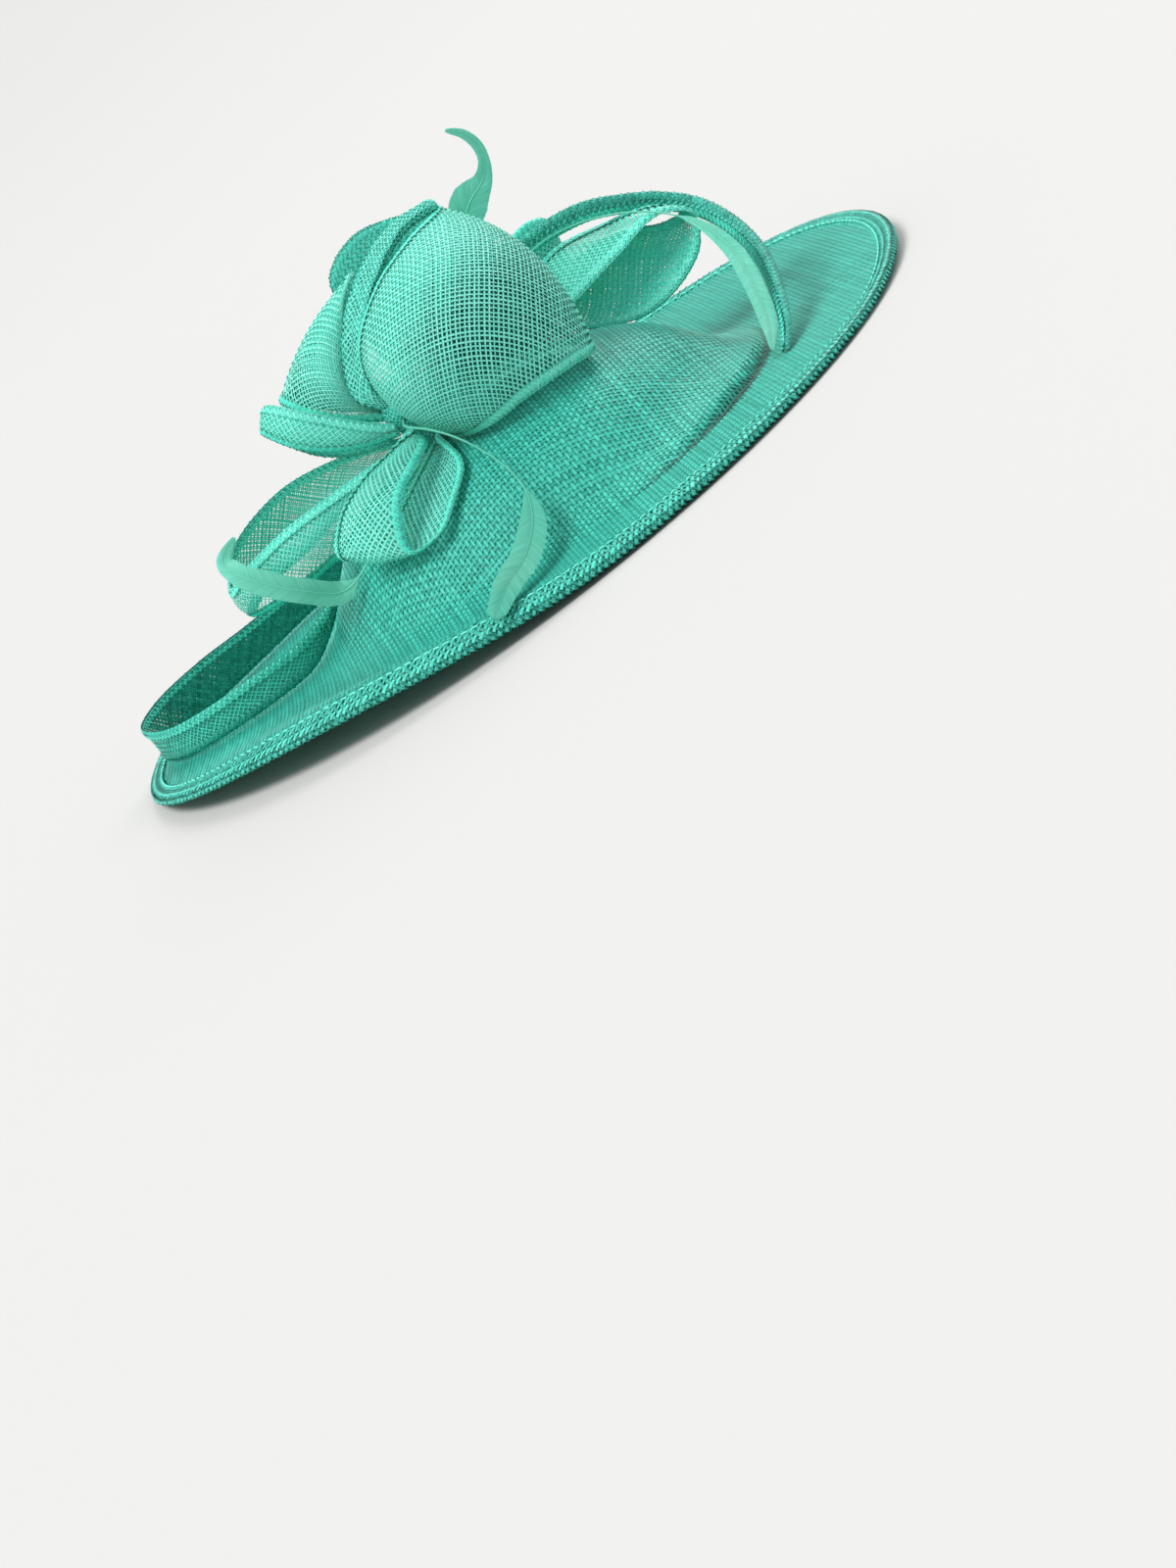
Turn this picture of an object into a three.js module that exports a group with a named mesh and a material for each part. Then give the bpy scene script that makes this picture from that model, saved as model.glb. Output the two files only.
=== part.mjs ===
// Disc fascinator of open-weave straw: a saucer with a raised crown, a bow of puffed loops,
// two narrow band loops, four trimmed feathers and a comb in the hollow. Millimetres, +Z up.
// It rests on the bound rim. +X runs along the long axis of the disc, -Y is the front.
import * as THREE from 'three';
import { ParametricGeometry } from 'three/addons/geometries/ParametricGeometry.js';
import { mergeVertices } from 'three/addons/utils/BufferGeometryUtils.js';

// Driving dimensions
const DISC_LENGTH = 400;
const DISC_WIDTH = 370;
const DISC_OFFSET_Y = 1;
const CLOTH = 1.2;
const STRIP_CLOTH = 1.0;
const GAP = 0.4;
const CROWN = { x: 10, y: -35, foot: 122, footHeight: 4, footRise: 5 };
const BINDING = { width: 10, wall: 1.0, slot: 2.2, nose: 2.0, tilt: 40 };
const KNOT = { x: -10, y: -56, radius: 9, bottom: 54.9, top: 79 };
const COMB = { length: 70, spine: 8, tooth: 26, thickness: 2, teeth: 14, x: 10, y: -26, top: 51.2 };

const STRAW = { color: 0x35b395, roughness: 0.6, metalness: 0 };
const STRAW_DARK = { color: 0x1f9a7d, roughness: 0.65, metalness: 0 };
const FEATHER = { color: 0x7ed8b4, roughness: 0.55, metalness: 0 };
const PLASTIC = { color: 0xd9e6e0, roughness: 0.3, metalness: 0 };

// Mesh from a closed surface: welds the seams, drops collapsed triangles, turns faces outward
function closedMesh(name, surface, look) {
  const bare = surface.clone();
  bare.deleteAttribute('normal');
  bare.deleteAttribute('uv');
  const geometry = mergeVertices(bare, 1e-3);
  const place = geometry.attributes.position;
  const index = geometry.index.array;
  const corners = [new THREE.Vector3(), new THREE.Vector3(), new THREE.Vector3()];
  const kept = [];
  let volume = 0;
  for (let i = 0; i < index.length; i += 3) {
    const [a, b, c] = [index[i], index[i + 1], index[i + 2]];
    if (a === b || b === c || c === a) continue;
    [a, b, c].forEach((vertex, k) => corners[k].fromBufferAttribute(place, vertex));
    volume += corners[0].dot(corners[1].clone().cross(corners[2]));
    kept.push(a, b, c);
  }
  geometry.setIndex(volume < 0 ? kept.reverse() : kept);
  geometry.computeVertexNormals();
  const mesh = new THREE.Mesh(geometry, new THREE.MeshStandardMaterial(look));
  mesh.name = name;
  return mesh;
}

// Smooth hump that is 1 at the centre angle and 0 beyond the half width, all in degrees
function hump(angle, centre, half) {
  const turn = THREE.MathUtils.degToRad(angle - centre);
  const away = Math.abs(THREE.MathUtils.radToDeg(Math.atan2(Math.sin(turn), Math.cos(turn))));
  return away < half ? Math.cos((away / half) * Math.PI / 2) ** 2 : 0;
}

// Disc. Angles are in degrees about the centre of the crown.
const CROWN_PROFILE = [
  { r: 0, z: 56 },
  { r: 38, z: 52.6 },
  { r: 54, z: 48.8 },
  { r: 68, z: 43.2 },
  { r: 79, z: 36.5 },
  { r: 88, z: 28 },
  { r: 95, z: 19.5 },
  { r: 103, z: 11 },
  { r: 112, z: 6 },
  { r: 119, z: 4.3 },
  { r: 122, z: 4 },
];
const FRONT_SLOPE = { centre: 240, half: 110 };
const RIM_LIFTS = [
  { centre: 222, half: 58, lift: 10 },
  { centre: 25, half: 60, lift: 5 },
];
const TUCK = { centre: -38, half: 34, radius: 112, reach: 10, lift: 4 };

const rimTilt = (angle) => THREE.MathUtils.degToRad(BINDING.tilt * hump(angle, FRONT_SLOPE.centre, FRONT_SLOPE.half));

const rimLift = (angle) => RIM_LIFTS.reduce((sum, row) => sum + row.lift * hump(angle, row.centre, row.half), 0);

function rimDistance(angle) {
  const [c, s] = [Math.cos(THREE.MathUtils.degToRad(angle)), Math.sin(THREE.MathUtils.degToRad(angle))];
  const [a, b] = [DISC_LENGTH / 2, DISC_WIDTH / 2];
  const [x, y] = [CROWN.x, CROWN.y - DISC_OFFSET_Y];
  const square = (c / a) ** 2 + (s / b) ** 2;
  const cross = (x * c) / a ** 2 + (y * s) / b ** 2;
  const rest = (x / a) ** 2 + (y / b) ** 2 - 1;
  return (-cross + Math.sqrt(cross ** 2 - square * rest)) / square;
}

// Point of the rim's section: inward along the cloth from the outer edge, and up from its underside
function rimPoint(angle, inward, up) {
  const tilt = rimTilt(angle);
  return {
    r: rimDistance(angle) - inward * Math.cos(tilt) + up * Math.sin(tilt),
    z: inward * Math.sin(tilt) + up * Math.cos(tilt) + rimLift(angle),
  };
}

const profileCurve = new THREE.SplineCurve(CROWN_PROFILE.map((row) => new THREE.Vector2(row.r, row.z)));

function crownHeight(r) {
  let row = 0;
  while (row < CROWN_PROFILE.length - 2 && r > CROWN_PROFILE[row + 1].r) row += 1;
  const share = (r - CROWN_PROFILE[row].r) / (CROWN_PROFILE[row + 1].r - CROWN_PROFILE[row].r);
  return profileCurve.getPoint((row + share) / (CROWN_PROFILE.length - 1)).y;
}

const clothMiddle = BINDING.slot / 2 + BINDING.wall;

function discHeight(angle, r) {
  const foot = CROWN.footHeight + CROWN.footRise * hump(angle, FRONT_SLOPE.centre, FRONT_SLOPE.half);
  const tuck = TUCK.lift * hump(angle, TUCK.centre, TUCK.half) * hump(r, TUCK.radius, TUCK.reach);
  const slope = THREE.MathUtils.smoothstep(r, 80, CROWN.foot) * (foot - CROWN.footHeight);
  if (r <= CROWN.foot) return crownHeight(r) + slope + tuck;
  const inner = rimPoint(angle, BINDING.width, clothMiddle);
  const outer = rimPoint(angle, 0, clothMiddle);
  if (r > inner.r) return THREE.MathUtils.mapLinear(r, inner.r, outer.r, inner.z, outer.z);
  const share = (r - CROWN.foot) / (inner.r - CROWN.foot);
  return THREE.MathUtils.lerp(foot, inner.z, share * share * (3 - 2 * share));
}

function discPoint(angle, r, target) {
  const turn = THREE.MathUtils.degToRad(angle);
  return target.set(CROWN.x + r * Math.cos(turn), CROWN.y + r * Math.sin(turn), discHeight(angle, r));
}

function heightAt(x, y) {
  const angle = THREE.MathUtils.radToDeg(Math.atan2(y - CROWN.y, x - CROWN.x));
  return discHeight(angle, Math.hypot(x - CROWN.x, y - CROWN.y));
}

const BRIM_SHARES = [0.3, 0.65, 1];
const DISC_SIDES = 60;

function discRadii(angle) {
  const inner = rimPoint(angle, BINDING.width, clothMiddle).r;
  const edge = rimPoint(angle, BINDING.nose + BINDING.wall + GAP, clothMiddle).r;
  const brim = BRIM_SHARES.map((share) => THREE.MathUtils.lerp(CROWN.foot, inner, share));
  return [...CROWN_PROFILE.map((row) => row.r), ...brim, edge];
}

function disc() {
  const last = CROWN_PROFILE.length + BRIM_SHARES.length;
  const steps = 2 * last + 1;
  const near = new THREE.Vector3();
  const beside = new THREE.Vector3();
  const surface = (u, v, target) => {
    const angle = 360 * (Math.round(u * DISC_SIDES) % DISC_SIDES) / DISC_SIDES;
    const step = Math.round(v * steps);
    const top = step <= last;
    const r = discRadii(angle)[top ? step : steps - step];
    discPoint(angle, r, target);
    if (r === 0) {
      target.z += (top ? 0.5 : -0.5) * CLOTH;
      return;
    }
    discPoint(angle, r - 0.2, near).sub(target);
    discPoint(angle + 0.2, r, beside).sub(target);
    target.addScaledVector(beside.cross(near).normalize(), (top ? 0.5 : -0.5) * CLOTH);
  };
  return closedMesh('disc', new ParametricGeometry(surface, DISC_SIDES, steps), STRAW);
}

// Edge binding: a folded strip round the rim, with the disc's edge in its slot
function edgeBinding() {
  const { width, wall, slot, nose } = BINDING;
  const thick = slot + 2 * wall;
  const section = [
    [width, 0], [nose, 0], [nose * 0.3, thick * 0.15], [0, thick / 2], [nose * 0.3, thick * 0.85], [nose, thick],
    [width, thick], [width, thick - wall], [nose + wall, thick - wall], [nose + wall, wall], [width, wall],
  ];
  const sides = DISC_SIDES;
  const surface = (u, v, target) => {
    const angle = 360 * (Math.round(u * sides) % sides) / sides;
    const [inward, up] = section[Math.round(v * section.length) % section.length];
    const { r, z } = rimPoint(angle, inward, up);
    const turn = THREE.MathUtils.degToRad(angle);
    target.set(CROWN.x + r * Math.cos(turn), CROWN.y + r * Math.sin(turn), z);
  };
  return closedMesh('edge_binding', new ParametricGeometry(surface, sides, section.length), STRAW_DARK);
}

// Strip of cloth through a table of sections. Each row gives the two edges and how far the middle
// of the strip bulges out between them.
function strip(name, rows, along, across, look = STRAW) {
  const edge = (x, y, z) => new THREE.CatmullRomCurve3(rows.map((row) => new THREE.Vector3(row[x], row[y], row[z])));
  const first = edge('ax', 'ay', 'az');
  const second = edge('bx', 'by', 'bz');
  const bulges = new THREE.SplineCurve(rows.map((row, i) => new THREE.Vector2(i, row.bulge)));
  const middle = (t, w, target) => {
    const a = first.getPoint(t);
    const b = second.getPoint(t);
    const run = first.getTangent(t).add(second.getTangent(t));
    const out = run.cross(b.clone().sub(a)).normalize();
    return target.lerpVectors(a, b, w).addScaledVector(out, 4 * w * (1 - w) * bulges.getPoint(t).y);
  };
  const rounds = 2 * across + 2;
  const steps = along + 2;
  const small = 1e-3;
  const surface = (u, v, target) => {
    const step = Math.round(u * steps);
    const around = Math.round(v * rounds) % rounds;
    const t = THREE.MathUtils.clamp((step - 1) / along, 0, 1);
    const w = (around <= across ? around : rounds - 1 - around) / across;
    middle(t, w, target);
    if (step === 0 || step === steps) return;
    const ahead = middle(Math.min(t + small, 1), w, new THREE.Vector3());
    ahead.sub(middle(Math.max(t - small, 0), w, new THREE.Vector3()));
    const over = middle(t, Math.min(w + small, 1), new THREE.Vector3());
    over.sub(middle(t, Math.max(w - small, 0), new THREE.Vector3()));
    const half = (around <= across ? 0.5 : -0.5) * STRIP_CLOTH;
    target.addScaledVector(ahead.cross(over).normalize(), half);
  };
  return closedMesh(name, new ParametricGeometry(surface, steps, rounds), look);
}

// Ball loop: edge a is the lower hem, edge b the upper one
const BALL_ROWS = [
  { ax: -3.8, ay: -63.9, az: 61, bx: -4.4, by: -64.4, bz: 74, bulge: 0 },
  { ax: 1, ay: -77, az: 55, bx: -15, by: -66, bz: 86, bulge: 5 },
  { ax: 11, ay: -89, az: 53, bx: -12, by: -61, bz: 104, bulge: 16 },
  { ax: 30, ay: -92, az: 53.5, bx: 8, by: -50, bz: 118, bulge: 24 },
  { ax: 50, ay: -87, az: 51.5, bx: 30, by: -37, bz: 124, bulge: 22 },
  { ax: 63, ay: -76, az: 49, bx: 49, by: -21, bz: 126, bulge: 13 },
  { ax: 57, ay: -52, az: 54, bx: 38, by: -9, bz: 130, bulge: 8 },
  { ax: 40, ay: -32, az: 57.5, bx: 15, by: -8, bz: 136, bulge: 5 },
  { ax: 18, ay: -33, az: 58, bx: -4, by: -12, bz: 128, bulge: 3 },
  { ax: 4, ay: -40, az: 59, bx: -6, by: -28, bz: 100, bulge: 1 },
  { ax: -2.6, ay: -49.8, az: 61, bx: -3, by: -49.2, bz: 73.5, bulge: 0 },
];

// Roll along the upper hem of the ball loop
const ROLL_ROWS = [
  { ax: 51, ay: -26, az: 127.5, bx: 48, by: -20, bz: 130, bulge: 1 },
  { ax: 34, ay: -30, az: 128.5, bx: 29, by: -23.5, bz: 132, bulge: 2 },
  { ax: 14, ay: -44, az: 122, bx: 7, by: -38, bz: 126, bulge: 2.5 },
  { ax: -3, ay: -53.5, az: 111, bx: -11, by: -47.5, bz: 114, bulge: 3 },
  { ax: -12.5, ay: -57.5, az: 98.5, bx: -21.5, by: -52, bz: 100, bulge: 3 },
  { ax: -16.5, ay: -58.5, az: 88, bx: -25, by: -53.5, bz: 88, bulge: 2 },
  { ax: -13.5, ay: -57, az: 79.8, bx: -18, by: -56, bz: 77.8, bulge: 0.3 },
];

// Puff loop: edge a is the upper one, behind the roll, edge b the lower left one
const PUFF_ROWS = [
  { ax: -16.6, ay: -49, az: 77.5, bx: -18.9, by: -52.2, bz: 73, bulge: 0 },
  { ax: -20.5, ay: -46, az: 91, bx: -30, by: -50.5, bz: 80, bulge: 3 },
  { ax: -14.5, ay: -43, az: 107, bx: -41, by: -46, bz: 90, bulge: 5 },
  { ax: -4, ay: -35, az: 120, bx: -48, by: -38, bz: 98, bulge: 5 },
  { ax: 5, ay: -24, az: 128.5, bx: -51, by: -28, bz: 103, bulge: 3.5 },
  { ax: -10, ay: -19, az: 119, bx: -47, by: -19, bz: 98, bulge: 3 },
  { ax: -16, ay: -19, az: 98, bx: -36, by: -22, bz: 86, bulge: 4 },
  { ax: -12, ay: -36, az: 80, bx: -20, by: -38, bz: 75, bulge: 1 },
  { ax: -11.5, ay: -46.4, az: 74, bx: -14.6, by: -47.4, bz: 68, bulge: 0 },
];

// Side loop: edge a is the upper one, edge b the lower
const SIDE_ROWS = [
  { ax: -18.2, ay: -61.2, az: 72, bx: -18.7, by: -60.3, bz: 66.5, bulge: 0 },
  { ax: -27, ay: -60, az: 79.5, bx: -32.5, by: -58, bz: 71, bulge: 2 },
  { ax: -36, ay: -57.5, az: 88.5, bx: -46.5, by: -55, bz: 78.5, bulge: 3 },
  { ax: -46, ay: -53, az: 99, bx: -57.5, by: -50, bz: 88.5, bulge: 3 },
  { ax: -55.5, ay: -42, az: 107, bx: -64, by: -41, bz: 98, bulge: 2 },
  { ax: -56.5, ay: -35, az: 99, bx: -61, by: -36, bz: 91, bulge: 2 },
  { ax: -46, ay: -37.5, az: 84.5, bx: -50, by: -39, bz: 76, bulge: 2 },
  { ax: -33, ay: -44, az: 75, bx: -35, by: -45, bz: 67.5, bulge: 1 },
  { ax: -19.2, ay: -52.8, az: 71.5, bx: -19.2, by: -53, bz: 66, bulge: 0 },
];

// Lower left loop: edge a is the upper one, edge b the lower
const LOWER_LEFT_ROWS = [
  { ax: -16.6, ay: -63.2, az: 63.5, bx: -16.6, by: -63.2, bz: 57.4, bulge: 0 },
  { ax: -33, ay: -65.5, az: 65, bx: -34, by: -65, bz: 54, bulge: 2 },
  { ax: -55, ay: -66, az: 66, bx: -58, by: -65, bz: 46, bulge: 4 },
  { ax: -80, ay: -64, az: 66, bx: -83, by: -62, bz: 42, bulge: 5 },
  { ax: -103, ay: -57, az: 62, bx: -102, by: -55, bz: 42, bulge: 4 },
  { ax: -114, ay: -42, az: 57, bx: -113, by: -42, bz: 42, bulge: 3 },
  { ax: -104, ay: -25, az: 67, bx: -102, by: -26, bz: 45, bulge: 4 },
  { ax: -75, ay: -19, az: 73, bx: -78, by: -20, bz: 46, bulge: 4 },
  { ax: -45, ay: -29, az: 70, bx: -46, by: -29, bz: 54, bulge: 3 },
  { ax: -17.6, ay: -50, az: 63.5, bx: -17.6, by: -50, bz: 57.4, bulge: 0 },
];

// Front loop: edge a is the far edge, edge b the near one round the mouth
const FRONT_ROWS = [
  { ax: -13.6, ay: -64.7, az: 68, bx: -11.6, by: -65.4, bz: 62.5, bulge: 0 },
  { ax: -28, ay: -73, az: 66, bx: -12, by: -78, bz: 61, bulge: 2 },
  { ax: -46, ay: -79, az: 64, bx: -21, by: -89, bz: 58.5, bulge: 3 },
  { ax: -60, ay: -83, az: 58, bx: -34, by: -100, bz: 53, bulge: 4 },
  { ax: -68, ay: -87, az: 49, bx: -42, by: -109, bz: 36.5, bulge: 4 },
  { ax: -58, ay: -89, az: 43.5, bx: -29, by: -113.5, bz: 35.5, bulge: 2 },
  { ax: -42, ay: -86, az: 47, bx: -17, by: -108, bz: 41.5, bulge: 1 },
  { ax: -25, ay: -77, az: 53, bx: -6, by: -97, bz: 48.5, bulge: 0.5 },
  { ax: -9.6, ay: -65.8, az: 58, bx: -6.8, by: -65.4, bz: 59.5, bulge: 0 },
];

// Right loop: edge a is the near edge round the mouth, edge b the far one
const RIGHT_ROWS = [
  { ax: 46, ay: 4, az: 50.6, bx: 47, by: 16, bz: 52, bulge: 0 },
  { ax: 60, ay: 0, az: 55, bx: 60, by: 25, bz: 69, bulge: 1 },
  { ax: 78, ay: -1, az: 57.5, bx: 80, by: 30, bz: 75.5, bulge: 2 },
  { ax: 100, ay: 0, az: 61, bx: 103, by: 29, bz: 71.5, bulge: 2 },
  { ax: 124, ay: 2, az: 63.5, bx: 125, by: 16, bz: 66, bulge: 1 },
  { ax: 136, ay: 4, az: 54.5, bx: 133.5, by: 13.5, bz: 57, bulge: 1 },
  { ax: 130, ay: 0, az: 42.5, bx: 126, by: 17, bz: 57, bulge: 1 },
  { ax: 112, ay: -2, az: 34.5, bx: 106, by: 26, bz: 65, bulge: 2 },
  { ax: 94, ay: -1, az: 33.5, bx: 86, by: 26, bz: 66, bulge: 2 },
  { ax: 80, ay: 2, az: 38.4, bx: 72, by: 23, bz: 61, bulge: 1 },
  { ax: 69, ay: 2, az: 44.6, bx: 62, by: 20, bz: 55.5, bulge: 0 },
];

// Back loop: edge a is the lower one, edge b the upper
const BACK_ROWS = [
  { ax: 4, ay: 2, az: 54.4, bx: 3, by: 3, bz: 66, bulge: 0 },
  { ax: 28, ay: 23, az: 52, bx: 27, by: 23, bz: 78, bulge: 3 },
  { ax: 55, ay: 37, az: 52, bx: 55, by: 37, bz: 86, bulge: 3 },
  { ax: 76, ay: 43, az: 56, bx: 78, by: 43, bz: 90, bulge: 2 },
  { ax: 84, ay: 51, az: 58, bx: 87, by: 51, bz: 86, bulge: 2 },
  { ax: 70, ay: 58, az: 50, bx: 72, by: 58, bz: 84, bulge: 3 },
  { ax: 40, ay: 52, az: 46, bx: 40, by: 52, bz: 76, bulge: 4 },
  { ax: 12, ay: 36, az: 47, bx: 12, by: 36, bz: 66, bulge: 2 },
  { ax: -4, ay: 16, az: 50.4, bx: -4, by: 15, bz: 62, bulge: 0 },
];

// Right band: edge a is the inner edge of the arch, edge b the outer
const BAND_RIGHT_ROWS = [
  { ax: 31, ay: 17, az: 50.2, bx: 37, by: 22, bz: 50, bulge: 0 },
  { ax: 42, ay: 22, az: 64, bx: 36.5, by: 21, bz: 68, bulge: 0 },
  { ax: 57, ay: 25.5, az: 77, bx: 53, by: 25.5, bz: 84, bulge: 1 },
  { ax: 75, ay: 26, az: 80, bx: 74, by: 26, bz: 88.5, bulge: 1 },
  { ax: 98, ay: 22, az: 77.5, bx: 101, by: 22, bz: 85.5, bulge: 1 },
  { ax: 114, ay: 26, az: 70, bx: 118, by: 26, bz: 77, bulge: 1 },
  { ax: 127, ay: 26, az: 62, bx: 132, by: 26, bz: 68, bulge: 1 },
  { ax: 137, ay: 19, az: 52.5, bx: 143.5, by: 18, bz: 57, bulge: 1 },
  { ax: 142, ay: 0, az: 42.5, bx: 149, by: -1, bz: 45.5, bulge: 1 },
  { ax: 142.5, ay: -22, az: 32, bx: 149.5, by: -23, bz: 34, bulge: 1 },
  { ax: 139, ay: -44, az: 24, bx: 145.5, by: -46, bz: 25.5, bulge: 1 },
  { ax: 134, ay: -64, az: 17.5, bx: 139.5, by: -67, bz: 18.5, bulge: 0.5 },
  { ax: 127.5, ay: -83, az: 10.5, bx: 131.5, by: -86, bz: 10.5, bulge: 0 },
  { ax: 121, ay: -96, az: 5.8, bx: 123.5, by: -98, bz: 5.8, bulge: 0 },
];

// Left band: stands on the brim. Lift is above the disc, height is the width of the band there.
const BAND_LEFT_ROWS = [
  { x: -83, y: -7, lift: 2.0, height: 4 },
  { x: -94, y: -26, lift: 2.0, height: 8 },
  { x: -108, y: -38, lift: 1.2, height: 12 },
  { x: -127, y: -43, lift: 1.2, height: 14 },
  { x: -156, y: -36, lift: 1.2, height: 14 },
  { x: -177, y: -17, lift: 1.2, height: 15 },
  { x: -189, y: 13, lift: 2.4, height: 17 },
  { x: -178, y: 38, lift: 1.6, height: 19 },
  { x: -156, y: 52, lift: 1.2, height: 19 },
  { x: -130, y: 67, lift: 1.2, height: 16 },
  { x: -105, y: 82, lift: 1.2, height: 14 },
  { x: -72, y: 94, lift: 1.2, height: 12 },
];

function bandLeftRows() {
  return BAND_LEFT_ROWS.map(({ x, y, lift, height }) => {
    const low = heightAt(x, y) + CLOTH / 2 + lift;
    return { ax: x, ay: y, az: low + height, bx: x, by: y, bz: low, bulge: 0 };
  });
}

// Feathers: the line of the quill with half the width of the vane, which is flat to the face given
function feather(name, rows, face) {
  const spine = new THREE.CatmullRomCurve3(rows.map((row) => new THREE.Vector3(row.x, row.y, row.z)));
  const widths = new THREE.SplineCurve(rows.map((row, i) => new THREE.Vector2(i, row.half)));
  const [along, around, thick] = [24, 6, 0.7];
  const surface = (u, v, target) => {
    const step = Math.round(u * (along + 2));
    const t = THREE.MathUtils.clamp((step - 1) / along, 0, 1);
    const ends = step === 0 || step === along + 2;
    const turn = 2 * Math.PI * (Math.round(v * around) % around) / around;
    const ahead = spine.getTangent(t);
    const side = ahead.clone().cross(face).normalize();
    const out = side.clone().cross(ahead).normalize();
    const half = Math.max(widths.getPoint(t).y, thick);
    spine.getPoint(t, target);
    if (ends) return;
    target.addScaledVector(side, half * Math.cos(turn)).addScaledVector(out, thick * Math.sin(turn));
  };
  return closedMesh(name, new ParametricGeometry(surface, along + 2, around), FEATHER);
}

const FACE_FRONT = new THREE.Vector3(0, -1, 0.2);
const FACE_UP = new THREE.Vector3(0.2, -0.7, 0.7);

const FEATHER_TOP_ROWS = [
  { x: 24, y: 9, z: 52.3, half: 0.8 },
  { x: 33, y: 9, z: 76, half: 0.8 },
  { x: 43, y: 8, z: 97, half: 2 },
  { x: 54, y: 7, z: 109, half: 6 },
  { x: 63, y: 6, z: 116, half: 8 },
  { x: 73, y: 6, z: 120, half: 4 },
  { x: 78, y: 5, z: 126, half: 2.4 },
  { x: 79.5, y: 5, z: 133, half: 2.2 },
  { x: 77.5, y: 5, z: 140, half: 1.8 },
  { x: 72, y: 5, z: 146, half: 0.9 },
];
const FEATHER_LEFT_ROWS = [
  { x: -20.5, y: -68.5, z: 54.3, half: 0.8 },
  { x: -30, y: -71, z: 51.5, half: 0.8 },
  { x: -44, y: -75, z: 46.2, half: 0.8 },
  { x: -64, y: -77, z: 36, half: 0.8 },
  { x: -76, y: -76, z: 34, half: 4.5 },
  { x: -88, y: -78, z: 44.5, half: 5 },
  { x: -97, y: -77, z: 54.5, half: 5 },
  { x: -104, y: -74, z: 64, half: 4.5 },
  { x: -106, y: -69, z: 71.5, half: 3.5 },
  { x: -97, y: -63, z: 76.5, half: 1 },
];
const FEATHER_FRONT_ROWS = [
  { x: -14.5, y: -64.4, z: 72, half: 0.8 },
  { x: -15, y: -77, z: 71, half: 0.8 },
  { x: -9, y: -88, z: 67, half: 0.8 },
  { x: -2, y: -99, z: 59.5, half: 0.8 },
  { x: 4, y: -109, z: 48.5, half: 0.8 },
  { x: 7, y: -121, z: 39, half: 0.8 },
  { x: 7, y: -130, z: 32, half: 1.4 },
  { x: 2, y: -143, z: 24, half: 5 },
  { x: -8, y: -158, z: 18.5, half: 6 },
  { x: -20, y: -174, z: 17.3, half: 5.5 },
  { x: -31, y: -184.4, z: 12.8, half: 3.5 },
];
const FEATHER_RIGHT_ROWS = [
  { x: 41, y: 13, z: 49.2, half: 0.8 },
  { x: 46, y: 17, z: 66, half: 0.8 },
  { x: 58, y: 20, z: 77.5, half: 0.8 },
  { x: 75, y: 20.5, z: 82, half: 0.8 },
  { x: 95, y: 17, z: 79.5, half: 0.8 },
  { x: 117, y: 5, z: 70, half: 0.8 },
  { x: 131, y: -10, z: 57, half: 1.2 },
  { x: 136, y: -32, z: 42, half: 3.4 },
  { x: 132.5, y: -56, z: 28, half: 4 },
  { x: 125.5, y: -79, z: 15, half: 3.4 },
  { x: 118.5, y: -95, z: 8.4, half: 1 },
];

// Knot: the gathered, bound ends of the loops, as a short rounded post on the crown
function gatherKnot() {
  const { radius, bottom, top } = KNOT;
  const profile = [
    [0, bottom], [radius * 0.7, bottom], [radius, bottom + 5], [radius * 0.92, bottom + 12],
    [radius, top - 5], [radius * 0.6, top - 1], [0, top],
  ];
  const turned = new THREE.LatheGeometry(profile.map(([r, h]) => new THREE.Vector2(r, h)), 12);
  turned.rotateX(Math.PI / 2);
  turned.translate(KNOT.x, KNOT.y, 0);
  return closedMesh('gather_knot', turned, STRAW_DARK);
}

// Comb: one plain moulding, flat under the top of the crown with its teeth to the front
function comb() {
  const { length, spine, tooth, thickness, teeth } = COMB;
  const pitch = length / (teeth * 2 - 1);
  const outline = new THREE.Shape();
  outline.moveTo(-length / 2, spine);
  outline.lineTo(-length / 2, -tooth);
  for (let i = 0; i < teeth; i += 1) {
    const left = -length / 2 + 2 * i * pitch;
    outline.lineTo(left + pitch, -tooth);
    if (i === teeth - 1) break;
    outline.lineTo(left + pitch, 0);
    outline.lineTo(left + 2 * pitch, 0);
    outline.lineTo(left + 2 * pitch, -tooth);
  }
  outline.lineTo(length / 2, spine);
  outline.closePath();
  const plate = new THREE.ExtrudeGeometry(outline, { depth: thickness, bevelEnabled: false, steps: 1 });
  plate.translate(COMB.x, COMB.y, COMB.top - thickness);
  return closedMesh('comb', plate, PLASTIC);
}

const fascinator = new THREE.Group();
fascinator.add(
  disc(),
  edgeBinding(),
  gatherKnot(),
  strip('ball_loop', BALL_ROWS, 30, 7),
  strip('ball_roll', ROLL_ROWS, 20, 3),
  strip('puff_loop', PUFF_ROWS, 24, 5),
  strip('side_loop', SIDE_ROWS, 28, 3),
  strip('lower_left_loop', LOWER_LEFT_ROWS, 30, 4),
  strip('front_loop', FRONT_ROWS, 28, 5),
  strip('right_loop', RIGHT_ROWS, 28, 4),
  strip('back_loop', BACK_ROWS, 22, 3),
  strip('band_loop_right', BAND_RIGHT_ROWS, 34, 2, STRAW_DARK),
  strip('band_loop_left', bandLeftRows(), 36, 2, STRAW_DARK),
  feather('feather_top', FEATHER_TOP_ROWS, FACE_FRONT),
  feather('feather_left', FEATHER_LEFT_ROWS, FACE_FRONT),
  feather('feather_front', FEATHER_FRONT_ROWS, FACE_UP),
  feather('feather_right', FEATHER_RIGHT_ROWS, FACE_FRONT),
  comb(),
);

export default fascinator;
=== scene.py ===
import math

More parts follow.
